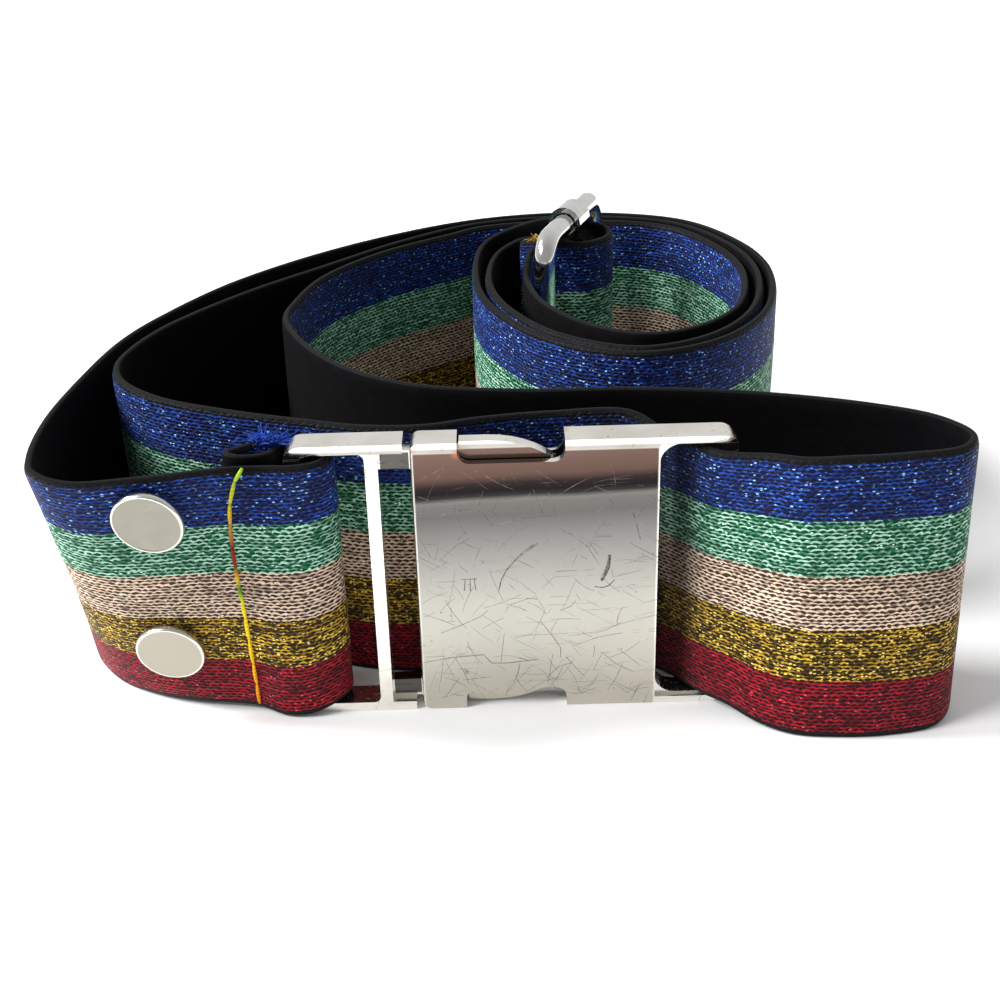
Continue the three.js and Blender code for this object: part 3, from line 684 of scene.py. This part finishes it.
# The worn metal, with places in millimetres in x and z. Copper shows where the plating has gone.
# Columns: x from the plate's left edge, z, and how far the wear reaches.
WORN = [
    (0.3, 49.2, 1.3),
    (51.8, 48.9, 2.0),
    (7.4, 48.0, 1.2),
    (24.6, 49.2, 1.4),
    (-20.0, 49.4, 1.2),
    (52.0, 1.4, 2.0),
    (8.0, 2.0, 1.0),
]
COPPER = srgb(190, 120, 84)

# Painted reflection on the plate's front, a ramp of the room's light and dark tones: a share of the
# buckle's height, and its tone there.
PAINTED_REFLECTION = [
    (0.0, srgb(196, 191, 178)),
    (0.2, srgb(186, 183, 173)),
    (0.42, srgb(174, 172, 164)),
    (0.62, srgb(132, 131, 128)),
    (0.74, srgb(98, 96, 94)),
    (0.785, srgb(104, 102, 99)),
    (0.796, srgb(112, 110, 106)),
    (0.812, srgb(50, 47, 47)),
    (0.83, srgb(32, 29, 31)),
    (0.855, srgb(44, 37, 37)),
    (0.885, srgb(92, 72, 65)),
    (0.97, srgb(108, 87, 79)),
]
REFLECTION_SLOPE = -0.03
REFLECTION_SWAY = 1.4

# Where each of these starts and is full, in from its own edges: the painted reflection on the front
# in x and z, the painted shade in the socket's mouth, and the painted dark line of shade above the
# rails' lower lip
PLATE_X = PLATE_LEFT + SHIFT.x
FRONT_IN_X = [(PLATE_X, PLATE_X + 0.4), (PLATE_X + PLATE_WIDTH, PLATE_X + PLATE_WIDTH - 0.4)]
FRONT_IN_Z = (48.5, 48.05)
MOUTH_SHADE_IN_X = [(PLATE_X - 4.95, PLATE_X - 4.75), (PLATE_X - 0.1, PLATE_X - 0.3)]
MOUTH_SHADE_IN_Z = [(2.0, 2.4), (48.0, 47.8)]
MOUTH_SHADE_TONE = srgb(30, 27, 25)
LIP_SHADE_IN_Z = [(48.1, 48.5), (49.2, 48.8)]
LIP_SHADE_TONE = srgb(86, 80, 74)

# Faint scratches by noise. Columns: turn, clouds a millimetre along it and across it, and the
# noise above which there is a scratch.
FAINT_SCRATCHES = [
    (0.25, 0.05, 3.2, 0.7),
    (-0.55, 0.06, 3.6, 0.7),
    (1.2, 0.05, 3.0, 0.71),
    (0.02, 0.03, 4.2, 0.69),
]
SCRATCH_TONE = srgb(110, 105, 98)
PIT_REACH = 0.11
PIT_TONE = srgb(92, 84, 76)


def painted_reflection(s, place, facing):
    """The painted reflection's tone on the plate's front, and where that front is."""
    x, _, z = s.parts(place)
    sway = s.centred(s.cloud(place, 0.05, 0.0, 0.05, detail=1.0), REFLECTION_SWAY)
    height = s.add(s.add(z, s.times(x, REFLECTION_SLOPE)), sway)
    tone = s.ramp(s.over(height, BUCKLE_HEIGHT), PAINTED_REFLECTION)
    inside = [s.between(x, *reach) for reach in FRONT_IN_X] + [s.between(z, *FRONT_IN_Z)]
    return tone, s.times(s.product(inside), s.between(facing, 0.8, 0.97))


def faint_scratches(s, place):
    marks = []
    for k, (turn, length, width, cut) in enumerate(FAINT_SCRATCHES):
        inputs = {"Vector": place, "Angle": turn}
        turned = s.node("VectorRotate", inputs, rotation_type="Y_AXIS").outputs[0]
        line = s.cloud(turned, length, 1.0, width, detail=1.0)
        patch = s.cloud(place, 0.1 + 0.03 * k, 0.1, 0.12)
        marks.append(s.times(s.between(line, cut, cut + 0.03), s.between(patch, 0.46, 0.58)))
    return s.most(marks)


def worn_spots(s, place):
    x, _, z = s.parts(place)
    spots = []
    for across, up, reach in WORN:
        square_x = s.math("POWER", s.minus(x, PLATE_X + across), 2.0)
        square_z = s.math("POWER", s.minus(z, up), 2.0)
        away = s.math("SQRT", s.add(square_x, square_z))
        spots.append(s.between(away, 0.2 * reach, reach, 1.0, 0.0))
    rub = s.cloud(place, 0.5, 0.5, 0.5, detail=4.0)
    return s.times(s.most(spots), s.between(rub, 0.38, 0.62))


# Where the painted shade in the socket's mouth lies
def painted_mouth_shade(s, place):
    x, _, z = s.parts(place)
    return s.product(
        [s.between(x, *reach) for reach in MOUTH_SHADE_IN_X]
        + [s.between(z, *reach) for reach in MOUTH_SHADE_IN_Z]
    )


def nickel(name, pale):
    """Worn plating, with a painted reflection on its front, its scratches, pits, bare copper and
    painted shade.
    """
    s = Shader(name)
    place = s.on_object()
    z = s.parts(place)[2]
    facing = s.times(s.parts(s.node("NewGeometry").outputs["Normal"])[1], -1.0)
    mottle = s.cloud(place, 0.12, 0.12, 0.3, detail=4.0)
    colour = s.mix(s.between(mottle, 0.35, 0.7), pale, srgb(230, 226, 216))
    # A painted dark line of shade on the rails' front faces, above their lower lip
    lip_shade = s.product([s.between(z, *reach) for reach in LIP_SHADE_IN_Z])
    colour = s.mix(s.times(lip_shade, s.between(facing, 0.5, 0.9, 0.0, 0.6)), colour, LIP_SHADE_TONE)
    # Painted reflection on the plate's front
    tone, inside = painted_reflection(s, place, facing)
    colour = s.mix(inside, colour, tone)
    scratch = faint_scratches(s, place)
    colour = s.mix(s.times(scratch, 0.4), colour, SCRATCH_TONE)
    pits = s.node("TexVoronoi", {"Vector": s.scaled(place, 0.55, 0.55, 0.55), "Scale": 1.0})
    small = s.math("LESS_THAN", pits.outputs[0], PIT_REACH)
    pit = s.times(small, s.between(mottle, 0.48, 0.6))
    colour = s.mix(s.times(pit, 0.6), colour, PIT_TONE)
    colour = s.mix(s.times(worn_spots(s, place), 0.6), colour, COPPER)
    # Painted shade in the socket's mouth
    colour = s.mix(s.times(painted_mouth_shade(s, place), 0.9), colour, MOUTH_SHADE_TONE)
    s.bump(s.minus(mottle, scratch), 0.03, 0.35)
    roughness = s.add(s.between(mottle, 0.3, 0.7, 0.16, 0.26), s.times(scratch, 0.25))
    return s.finish(colour, roughness, 1.0)


HAZE_TONE = srgb(168, 166, 160)
WIPE_TONE = srgb(110, 106, 100)
DISC_SHADE_EDGE = 0.15


def polished(name, colour, roughness, faces=()):
    """Polished metal, with painted shade in another tone within a reach of the middle of each given
    face.
    """
    s = Shader(name)
    place = s.on_object()
    # Painted shade near the middle of each given face
    for middle, reach, tone in faces:
        inputs = {0: place, 1: tuple(middle)}
        away = s.node("VectorMath", inputs, operation="DISTANCE").outputs["Value"]
        colour = s.mix(s.between(away, reach, reach + DISC_SHADE_EDGE, 1.0, 0.0), colour, tone)
    haze = s.cloud(place, 0.35, 0.35, 0.35, detail=4.0)
    fine = s.cloud(place, 0.4, 0.4, 5.0)
    shade = s.mix(s.between(haze, 0.4, 0.7, 0.0, 0.15), colour, HAZE_TONE)
    shade = s.mix(s.between(fine, 0.68, 0.74, 0.0, 0.25), shade, WIPE_TONE)
    s.bump(fine, 0.01, 0.3)
    return s.finish(shade, s.between(haze, 0.3, 0.7, roughness, roughness + 0.06), 1.0)


TWISTS = 9.0
TWIST_WANDER = 6.0
TWIST_SHADE = 0.22
TWIST_TONE = (0.02, 0.015, 0.01, 1)


def thread(name, colours):
    """Twisted thread whose colour changes with height, from the foot up."""
    s = Shader(name)
    place = s.on_object()
    z = s.parts(place)[2]
    colour = s.ramp(s.over(z, BAND_WIDTH), colours)
    wander = s.times(s.noise(place, 0.6), TWIST_WANDER)
    twist = s.math("SINE", s.add(s.times(z, TWISTS), wander))
    colour = s.mix(s.between(twist, -1, 1, 0.0, TWIST_SHADE), colour, TWIST_TONE)
    s.bump(twist, 0.06, 0.5)
    return s.finish(colour, 0.55, Specular_IOR_Level=0.15, Sheen_Weight=0.04, Sheen_Roughness=0.4)


# The band's section: height up it and half its thickness there, rounded towards both edges
HALF_THICKNESS = BAND_THICKNESS / 2
LOWER_EDGE = [(0.25, 0.55), (0.6, 0.68), (1.2, 0.82)]
FLAT_FROM, FLAT_TO, FLAT_STEPS = 2.4, 47.6, 22
FLAT = [
    (FLAT_FROM + (FLAT_TO - FLAT_FROM) * k / FLAT_STEPS, HALF_THICKNESS)
    for k in range(FLAT_STEPS + 1)
]
UPPER_EDGE = [(48.8, 0.82), (49.4, 0.68), (49.75, 0.55)]
FRONT_FACE = LOWER_EDGE + FLAT + UPPER_EDGE
EDGE_LAND = 0.3
FRONT_LOOK, BACK_LOOK, EDGE_LOOK = range(3)


def node_axis(name):
    """The middle of a cap's flat front face and the way it faces."""
    mesh = nodes[name].data
    normals = {}
    for face in mesh.polygons:
        key = tuple(round(c, 2) for c in face.normal)
        if face.normal.y < 0:
            normals.setdefault(key, []).append(face)
    flat = max(normals.values(), key=lambda faces: sum(face.area for face in faces))
    corners = {i for face in flat for i in face.vertices}
    middle = sum((mesh.vertices[i].co for i in corners), Vector()) / len(corners)
    return middle / MM, flat[0].normal.copy()


caps = {name: node_axis("snap_cap_" + name) for name in ("upper", "lower")}


# Slow swells of the cloth, and the hollow that each snap pulls in the band around it
SWELL = 0.16
SNAP_PULL = 0.55
SNAP_REACH = 14
SNAP_SPREAD = 6.5
STIFF_EDGE = 4


def relief(place, along, up):
    """How far the band's layer is pushed out of its smooth route, in millimetres."""
    push = SWELL * noise.noise(Vector((along * 0.045, up * 0.07, 3.1)))
    for centre, _ in caps.values():
        away = (place - centre).length
        if away < SNAP_REACH:
            push -= SNAP_PULL * math.exp(-((away / SNAP_SPREAD) ** 2))
    return push * min(1, min(up, BAND_WIDTH - up) / STIFF_EDGE)


def band_ring():
    """Height and side of each point round the section, and the look of the face after it."""
    back_face = [(up, -side) for up, side in FRONT_FACE[::-1]]
    upper_land = [(BAND_WIDTH, EDGE_LAND), (BAND_WIDTH, -EDGE_LAND)]
    lower_land = [(0.0, -EDGE_LAND), (0.0, EDGE_LAND)]
    looks = (
        [FRONT_LOOK] * (len(FRONT_FACE) - 1)
        + [EDGE_LOOK] * (len(upper_land) + 1)
        + [BACK_LOOK] * len(back_face)
        + [EDGE_LOOK] * len(lower_land)
    )
    return FRONT_FACE + upper_land + back_face + lower_land, looks


def band_skin(ring, ring_looks):
    """One closed skin: points, faces, each corner's place on the flat band and each face's look."""
    size = len(ring)
    verts, faces, uvs, looks = [], [], [], []
    for top, foot, across, along in sections:
        rise = top - foot
        for up, side in ring:
            place = foot + rise * (up / BAND_WIDTH)
            verts.append(place + across * (side + relief(place, along, up)))
    for i in range(len(sections) - 1):
        a, b = i * size, (i + 1) * size
        u0, u1 = sections[i][3] * MM, sections[i + 1][3] * MM
        for k in range(size):
            n = (k + 1) % size
            v0, v1 = ring[k][0] * MM, ring[n][0] * MM
            faces.append((a + k, b + k, b + n, a + n))
            uvs += [(u0, v0), (u1, v0), (u1, v1), (u0, v1)]
        looks += ring_looks
    last = (len(sections) - 1) * size
    faces += [tuple(range(size)), tuple(last + k for k in range(size))[::-1]]
    uvs += [(0, up * MM) for up, _ in ring]
    uvs += [(sections[-1][3] * MM, up * MM) for up, _ in ring[::-1]]
    looks += [EDGE_LOOK, EDGE_LOOK]
    return verts, faces, uvs, looks


def make_band():
    verts, faces, uvs, looks = band_skin(*band_ring())
    band = mesh_object("striped_band", verts, faces, striped_knit())
    band.data.materials.append(black_elastic())
    band.data.materials.append(edge_elastic())
    band.data.polygons.foreach_set("material_index", looks)
    layer = band.data.uv_layers.new(name="length_and_width")
    layer.data.foreach_set("uv", [c for uv in uvs for c in uv])
    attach(band, "root")
    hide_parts("elastic_band")


make_band()


# Hand stitches down the front layer: x across the part, and share of the band's width
STITCHES = [
    (-39.7, 1.0),
    (-41.0, 0.955),
    (-42.2, 0.87),
    (-42.6, 0.79),
    (-42.8, 0.7),
    (-42.8, 0.62),
    (-42.7, 0.54),
    (-42.5, 0.47),
    (-42.4, 0.41),
    (-42.3, 0.31),
    (-42.2, 0.2),
    (-42.1, 0.11),
    (-42.1, 0.02),
]
FRONT_LAYER_Y = -58.5
FRONT_LAYER_END = 90
STITCH_COLOURS = [
    (0.02, srgb(236, 130, 14)),
    (0.2, srgb(244, 180, 16)),
    (0.36, srgb(244, 214, 20)),
    (0.47, srgb(226, 218, 28)),
    (0.52, srgb(70, 140, 40)),
    (0.57, srgb(220, 184, 30)),
    (0.62, srgb(140, 14, 12)),
    (0.7, srgb(150, 48, 26)),
    (0.82, srgb(206, 170, 36)),
    (0.97, srgb(150, 196, 40)),
]
STITCH_STEPS = 8
STITCH_SIDES = 8
STITCH_OUT = 0.7
STITCH_ARCH = 0.45
STITCH_RADIUS = 0.24
STITCH_SWELL = 0.1


def along_front(x):
    """How far along the band its front layer passes x."""
    front = [
        section
        for section in sections
        if section[3] < FRONT_LAYER_END and section[0].y < FRONT_LAYER_Y + SHIFT.y
    ]
    nearest = min(front, key=lambda section: abs(section[0].x - SHIFT.x - x))
    return nearest[3] + nearest[0].x - SHIFT.x - x


def make_stitches():
    """One arched stitch from each place to the next."""
    pieces = []
    places = [(along_front(x), up) for x, up in STITCHES]
    for (along, up), (along_next, up_next) in zip(places, places[1:]):
        line, radii = [], []
        for k in range(STITCH_STEPS + 1):
            t = k / STITCH_STEPS
            arch = math.sin(math.pi * t)
            out = STITCH_OUT + STITCH_ARCH * arch**0.5
            line.append(on_band(along + (along_next - along) * t, up + (up_next - up) * t, out))
            radii.append(STITCH_RADIUS + STITCH_SWELL * arch)
        pieces.append(tube_mesh(line, radii, STITCH_SIDES))
    material = thread("stitch_thread", STITCH_COLOURS)
    stitch = mesh_object("hand_stitches", *join_meshes(pieces), material)
    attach(stitch, "root")


make_stitches()


# Loose fibres: how they stray, bend over and curl, in shares of their length or in millimetres
FIBRE_STEPS = 10
FIBRE_SIDES = 4
FIBRE_STRAY = 0.25
FIBRE_BEND = 0.9
FIBRE_DROOP = -0.6
FIBRE_CURL = 0.6
FIBRE_TAPER = 0.5


def make_fibres(name, roots, ways, count, length, radius, material):
    """Loose fibres that stand up from between two roots, curl and bend over."""
    pieces = []
    steps = [k / FIBRE_STEPS for k in range(FIBRE_STEPS + 1)]
    for _ in range(count):
        t = random.random()
        root = roots[0].lerp(roots[1], t)
        stray = Vector([random.gauss(0, FIBRE_STRAY) for _ in range(3)])
        way = (ways[0].lerp(ways[1], t) + stray).normalized()
        bend = Vector((random.gauss(0, FIBRE_BEND), random.gauss(0, FIBRE_BEND), FIBRE_DROOP))
        reach = length * random.uniform(0.5, 1.1)
        start = random.uniform(0, 6)
        turns = random.uniform(2, 6)
        line = []
        for f in steps:
            angle = start + turns * f
            curl = Vector((math.cos(angle), math.sin(angle), 0)) * FIBRE_CURL * f
            line.append(root + way * reach * f + bend * reach * 0.5 * f * f + curl)
        radii = [radius * (1 - FIBRE_TAPER * f) for f in steps]
        pieces.append(tube_mesh(line, radii, FIBRE_SIDES))
    tuft = mesh_object(name, *join_meshes(pieces), material)
    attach(tuft, "root")


FRAY_COLOURS = [(0.0, srgb(4, 8, 34)), (0.95, srgb(7, 18, 72)), (1.0, srgb(20, 66, 170))]
FRAY_COUNT = 80
FRAY_LENGTH = 3.6
FRAY_RADIUS = 0.15


def make_frays():
    """The frayed end of the tail: along its cut edge, and behind its upper corner."""
    blue = thread("fray_thread", FRAY_COLOURS)
    low, top = on_band(0.2, 0.86), on_band(0.2, 0.98)
    behind = (top + Vector((1.0, 1.2, -0.6)), top + Vector((3.6, 1.6, -0.8)))
    for name, roots, ways in (
        ("frayed_end_near", (low, top), ((0.5, 0.3, 0.7), (0.2, 0.4, 1))),
        ("frayed_end_far", behind, ((-0.3, 0.2, 1), (0.6, 0.2, 0.8))),
    ):
        ways = [Vector(way) for way in ways]
        make_fibres(name, roots, ways, FRAY_COUNT, FRAY_LENGTH, FRAY_RADIUS, blue)


make_frays()


def dress(name, material):
    """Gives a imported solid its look."""
    solid = nodes[name]
    solid.data.materials.clear()
    solid.data.materials.append(material)
    return solid


# Snap caps: a polished disc inside a thin rolled rim. Columns: radius, height over the disc.
CAP_STEPS = 96
POST_RADIUS = 1.5
CAP_PROFILE = [
    (POST_RADIUS, -4.0),
    (POST_RADIUS, -1.5),
    (CAP_RADIUS - 0.5, -1.5),
    (CAP_RADIUS - 0.12, -1.3),
    (CAP_RADIUS, -0.9),
    (CAP_RADIUS, -0.35),
    (CAP_RADIUS - 0.1, -0.12),
    (CAP_RADIUS - 0.3, 0.0),
    (CAP_RADIUS - 0.5, -0.04),
    (CAP_RADIUS - 0.62, -0.16),
    (CAP_RADIUS - 0.8, -0.18),
    (CAP_RADIUS * 0.6, -0.07),
    (CAP_RADIUS * 0.3, -0.02),
    (0.001, 0.0),
]
# Painted shade: the discs are darker than their rims, the upper disc darker than the lower.
CAP_SHADE_TONES = {"upper": srgb(139, 137, 126), "lower": srgb(164, 159, 145)}
DISC_RADIUS = CAP_RADIUS - 0.5


def make_cap(name, material):
    centre, out = caps[name]
    mesh = lathe_mesh(CAP_PROFILE, centre, out, CAP_STEPS)
    cap = mesh_object("polished_cap_" + name, *mesh, material)
    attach(cap, "root")
    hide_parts("snap_cap_" + name)


shaded_discs = [(caps[name][0], DISC_RADIUS, tone) for name, tone in CAP_SHADE_TONES.items()]
snap_metal = polished("snap_metal", srgb(222, 220, 214), 0.2, shaded_discs)
for cap_name in caps:
    make_cap(cap_name, snap_metal)
    dress("snap_socket_" + cap_name, snap_metal)


# Slide: smooth round wire and its bar with two collars
WIRE_SIDES = 28
CORNER_STEPS = 12
SLIDE_PLAY = 0.3


def slide_path():
    """The wire's middle line: a rounded rectangle that stands over the slide's middle."""
    radius = WIRE_DIAMETER / 2
    low, high = radius, SLIDE_LIFT + BAND_WIDTH + SLIDE_PLAY + radius
    path = []
    for side, level, start in ((1, high, 0), (-1, high, 90), (-1, low, 180), (1, low, 270)):
        centre_across = side * (SLIDE_HALF_WIDTH - SLIDE_CORNER)
        centre_level = level - SLIDE_CORNER if level == high else level + SLIDE_CORNER
        for k in range(CORNER_STEPS + 1):
            angle = math.radians(start + 90 * k / CORNER_STEPS)
            across = centre_across + SLIDE_CORNER * math.cos(angle)
            up = Vector((0, 0, centre_level + SLIDE_CORNER * math.sin(angle)))
            path.append(SLIDE_CENTRE + SHIFT + SLIDE_ACROSS * across + up)
    return path


def make_slide():
    metal = polished("slide_metal", srgb(226, 225, 221), 0.1)
    tube = tube_mesh(slide_path(), WIRE_DIAMETER / 2, WIRE_SIDES, closed=True)
    wire = mesh_object("slide_wire", *tube, metal)
    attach(wire, "root")
    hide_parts("slide_frame")
    dress("slide_bar", metal)


make_slide()

# Thread tuft where the band's end is stitched round the bar
TUFT_COLOURS = [(0.0, srgb(150, 110, 40)), (0.9, srgb(214, 196, 130)), (1.0, srgb(190, 150, 60))]
TUFT_FROM_END = 3
TUFT_COUNT = 16
TUFT_LENGTH = 3.2
TUFT_RADIUS = 0.16


def make_tuft():
    place = on_band(sections[-1][3] - TUFT_FROM_END, 1.0)
    roots = (place, place + Vector((1.5, -1, 0)))
    ways = (Vector((0.3, -0.6, 0.6)), Vector((-0.5, -0.3, 0.8)))
    material = thread("tuft_thread", TUFT_COLOURS)
    make_fibres("end_stitch_tuft", roots, ways, TUFT_COUNT, TUFT_LENGTH, TUFT_RADIUS, material)


make_tuft()


# Buckle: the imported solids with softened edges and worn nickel
EDGE_ROUND = 0.38
ROUND_STEPS = 3
SHARP_ANGLE = math.radians(40)
FLAT_ANGLE = math.radians(1)


def height_nodes():
    """Geometry nodes that lower a solid to the buckle's height."""
    group = bpy.data.node_groups.new("buckle_height", "GeometryNodeTree")
    for direction in ("INPUT", "OUTPUT"):
        group.interface.new_socket(
            name="Geometry", in_out=direction, socket_type="NodeSocketGeometry"
        )
    start = group.nodes.new("NodeGroupInput")
    end = group.nodes.new("NodeGroupOutput")
    resize = group.nodes.new("GeometryNodeTransform")
    resize.inputs["Scale"].default_value = (1, 1, BUCKLE_HEIGHT / SOLID_HEIGHT)
    group.links.new(start.outputs[0], resize.inputs["Geometry"])
    group.links.new(resize.outputs[0], end.inputs[0])
    return group


def finish_buckle():
    lower = height_nodes()
    worn_nickel = nickel("worn_nickel", srgb(248, 245, 238))
    for name in ("buckle_plate", "buckle_frame"):
        solid = dress(name, worn_nickel)
        solid.modifiers.new("height", "NODES").node_group = lower
        clean = solid.modifiers.new("flat_faces", "DECIMATE")
        clean.decimate_type = "DISSOLVE"
        clean.angle_limit = FLAT_ANGLE
        bevel = solid.modifiers.new("soft_edges", "BEVEL")
        bevel.width = EDGE_ROUND * MM
        bevel.segments = ROUND_STEPS
        bevel.limit_method = "ANGLE"
        bevel.angle_limit = SHARP_ANGLE
        bevel.harden_normals = True
        for face in solid.data.polygons:
            face.use_smooth = True


finish_buckle()


# Scratches on the plate's front. Each is a width, then x and z of its points from the plate's
# left foot.
SCRATCHES = [
    (0.2, [(20, 31.7), (18.4, 30.4), (16.6, 28.9), (15.4, 27.6)]),
    (0.24, [(19.2, 31.4), (17, 29.6), (14.8, 26.8), (13.9, 24.9), (13.5, 23)]),
    (0.7, [(31.7, 29.2), (31.5, 27.1), (30.9, 25.5), (30.4, 24.4)]),
    (0.22, [(32.6, 24.5), (31.6, 23.4), (30.6, 23.1), (29.3, 23.3)]),
    (0.2, [(7.4, 25.3), (9.9, 25.4)]),
    (0.22, [(8, 25.3), (7.8, 23.2)]),
    (0.22, [(8.8, 25.3), (8.8, 23.1)]),
    (0.22, [(9.5, 25.3), (9.7, 23.3)]),
    (0.14, [(35.2, 37.7), (36, 34.8), (36.7, 31.9)]),
    (0.14, [(37.1, 37.9), (35.6, 35)]),
    (0.16, [(17.9, 21.4), (19.8, 21.2)]),
    (0.14, [(23.5, 18.9), (25.3, 19.6), (26.2, 20.7)]),
    (0.12, [(3.6, 15.1), (7.4, 16.7), (10.4, 18.2), (11.6, 19.3)]),
    (0.15, [(0.6, 9.4), (5.2, 10.2), (10.6, 10.6), (11.9, 8.9), (14.7, 8.8), (19.8, 9.4)]),
    (0.14, [(7, 7.3), (8.2, 7.3)]),
    (0.14, [(7.3, 6.7), (7.9, 7.9)]),
    (0.14, [(7.9, 6.8), (7.3, 7.9)]),
    (0.12, [(20.2, 17.1), (22.3, 13.9), (23.6, 11.6), (23.6, 9.7)]),
    (0.12, [(21.1, 5.5), (23.2, 7.8), (25.6, 8.6)]),
    (0.12, [(22.3, 10.5), (21.4, 4.4)]),
    (0.1, [(26, 12), (30, 13.5), (34, 14.2)]),
    (0.1, [(12, 35), (18, 36.4), (23, 36.8)]),
    (0.1, [(25, 33.5), (28, 31), (30, 27.5)]),
    (0.1, [(4, 29), (6.5, 31.5), (9, 33)]),
    (0.1, [(30.5, 10.5), (33, 8), (36, 6.4)]),
]


# Many short hairlines lie between them, clear of the plate's edges and mostly along four ways.
HAIRLINES = 170
HAIRLINE_EDGE = 0.8
HAIRLINE_LOW, HAIRLINE_HIGH = 2.2, 47.5
HAIRLINE_WAYS = (0.15, -0.5, 0.9, 2.2)
SCRATCH_SIDES = 6
SCRATCH_ENDS = 0.7
SCRATCH_RISE = 0.2


def hairline():
    """A short, slightly bent scratch somewhere on the plate, more of them low down."""
    x = random.uniform(1.5, PLATE_WIDTH - 1.5)
    z = 2.5 + 43 * random.random() ** 1.35
    turn = random.choice(HAIRLINE_WAYS) + random.gauss(0, 0.35)
    bend = random.gauss(0, 0.05)
    length = random.uniform(0.8, 7)
    line = []
    for k in range(5):
        reach = length * (k / 4 - 0.5)
        across = x + reach * math.cos(turn + bend * k)
        up = z + reach * math.sin(turn + bend * k)
        across = min(max(across, HAIRLINE_EDGE), PLATE_WIDTH - HAIRLINE_EDGE)
        line.append((across, min(max(up, HAIRLINE_LOW), HAIRLINE_HIGH)))
    return (random.uniform(0.04, 0.09), line)


def scratch_metal():
    s = Shader("scratch_metal")
    grit = s.cloud(s.on_object(), 2.5, 1.0, 2.5)
    tone = s.ramp(grit, [(0.35, srgb(78, 73, 68)), (0.65, srgb(150, 145, 136))])
    return s.finish(tone, 0.5, 0.8)


def make_scratches():
    """Flattened threads of dull metal on the plate's front, thinner at their ends."""
    front = BUCKLE_FRONT + SHIFT.y
    parts = []
    for width, line in SCRATCHES + [hairline() for _ in range(HAIRLINES)]:
        points = [Vector((PLATE_X + x, front, z)) for x, z in line]
        radii = [width / 2] * len(points)
        radii[0] = radii[-1] = SCRATCH_ENDS * width / 2
        verts, faces = tube_mesh(points, radii, SCRATCH_SIDES)
        flat = [Vector((v.x, front + (v.y - front) * SCRATCH_RISE, v.z)) for v in verts]
        parts.append((flat, faces))
    marks = mesh_object("plate_scratches", *join_meshes(parts), scratch_metal())
    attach(marks, "root")


make_scratches()


# Floor, light and camera
FLOOR_REACH = 3000
FLOOR_Z = -0.05
FRONT_SKY = 0.37
BACK_SKY = 0.72
SKY_TURN = 0.6


def make_floor():
    s = Shader("pale_floor")
    soft = s.noise(s.node("TexCoord").outputs["Object"], 3.0)
    tone = s.mix(soft, srgb(244, 244, 244), srgb(248, 248, 248))
    s.finish(tone, 0.7, Specular_IOR_Level=0.1)
    corners = [
        (x * FLOOR_REACH, y * FLOOR_REACH, FLOOR_Z) for x, y in ((-1, -1), (1, -1), (1, 1), (-1, 1))
    ]
    floor = mesh_object("floor", corners, [(0, 1, 2, 3)], s.material)


def make_sky():
    """Soft white light from all round, stronger from behind the belt."""
    world = bpy.data.worlds.new("studio")
    bpy.context.scene.world = world
    world.use_nodes = True
    sky = world.node_tree
    way = sky.nodes.new("ShaderNodeTexCoord")
    parts = sky.nodes.new("ShaderNodeSeparateXYZ")
    level = sky.nodes.new("ShaderNodeMapRange")
    for socket, value in zip(list(level.inputs)[1:5], (-SKY_TURN, SKY_TURN, FRONT_SKY, BACK_SKY)):
        socket.default_value = value
    sky.links.new(way.outputs["Generated"], parts.inputs[0])
    sky.links.new(parts.outputs["Y"], level.inputs[0])
    sky.links.new(level.outputs[0], sky.nodes["Background"].inputs[1])
    sky.nodes["Background"].inputs[0].default_value = (1, 1, 1, 1)


def add_lamp(name, kind, energy, place, way):
    """A lamp at a place, in metres, that shines along a way."""
    light = bpy.data.lights.new(name, kind)
    light.energy = energy
    lamp = bpy.data.objects.new(name, light)
    bpy.context.scene.collection.objects.link(lamp)
    lamp.location = place
    lamp.rotation_euler = Vector(way).to_track_quat("-Z", "Y").to_euler()
    return light


KEY_PLACE = Vector((-0.65, -0.3, 0.6))
KEY_SIZE = 0.35
KEY_POWER = 7.5
WINDOW_WAY = Vector((0.8, -0.13, -0.62))
WINDOW_STRENGTH = 4.2
WINDOW_SPREAD = math.radians(16)

make_floor()
make_sky()
key_light = add_lamp("key_light", "AREA", KEY_POWER, KEY_PLACE, -KEY_PLACE)
key_light.shape = "DISK"
key_light.size = KEY_SIZE
window_light = add_lamp("window_light", "SUN", WINDOW_STRENGTH, (0, 0, 0), WINDOW_WAY)
window_light.angle = WINDOW_SPREAD

# The camera stands in front of the belt's middle. Its place is in millimetres and its pitch and
# roll are in degrees.
CAMERA_DISTANCE = 270
CAMERA_HEIGHT = 148.7
CAMERA_PITCH = 27
CAMERA_ROLL = 1.6
CAMERA_LENS = 54


def make_camera():
    data = bpy.data.cameras.new("camera")
    data.sensor_fit = "HORIZONTAL"
    data.sensor_width = 36
    data.lens = CAMERA_LENS
    data.clip_start = 0.01
    camera = bpy.data.objects.new("camera", data)
    bpy.context.scene.collection.objects.link(camera)
    place = (SHIFT + Vector((0, -CAMERA_DISTANCE, CAMERA_HEIGHT))) * MM
    camera.matrix_world = (
        Matrix.Translation(place)
        @ Matrix.Rotation(math.radians(90 - CAMERA_PITCH), 4, "X")
        @ Matrix.Rotation(math.radians(-CAMERA_ROLL), 4, "Z")
    )
    bpy.context.scene.camera = camera


make_camera()
bpy.context.scene.view_settings.view_transform = "Standard"
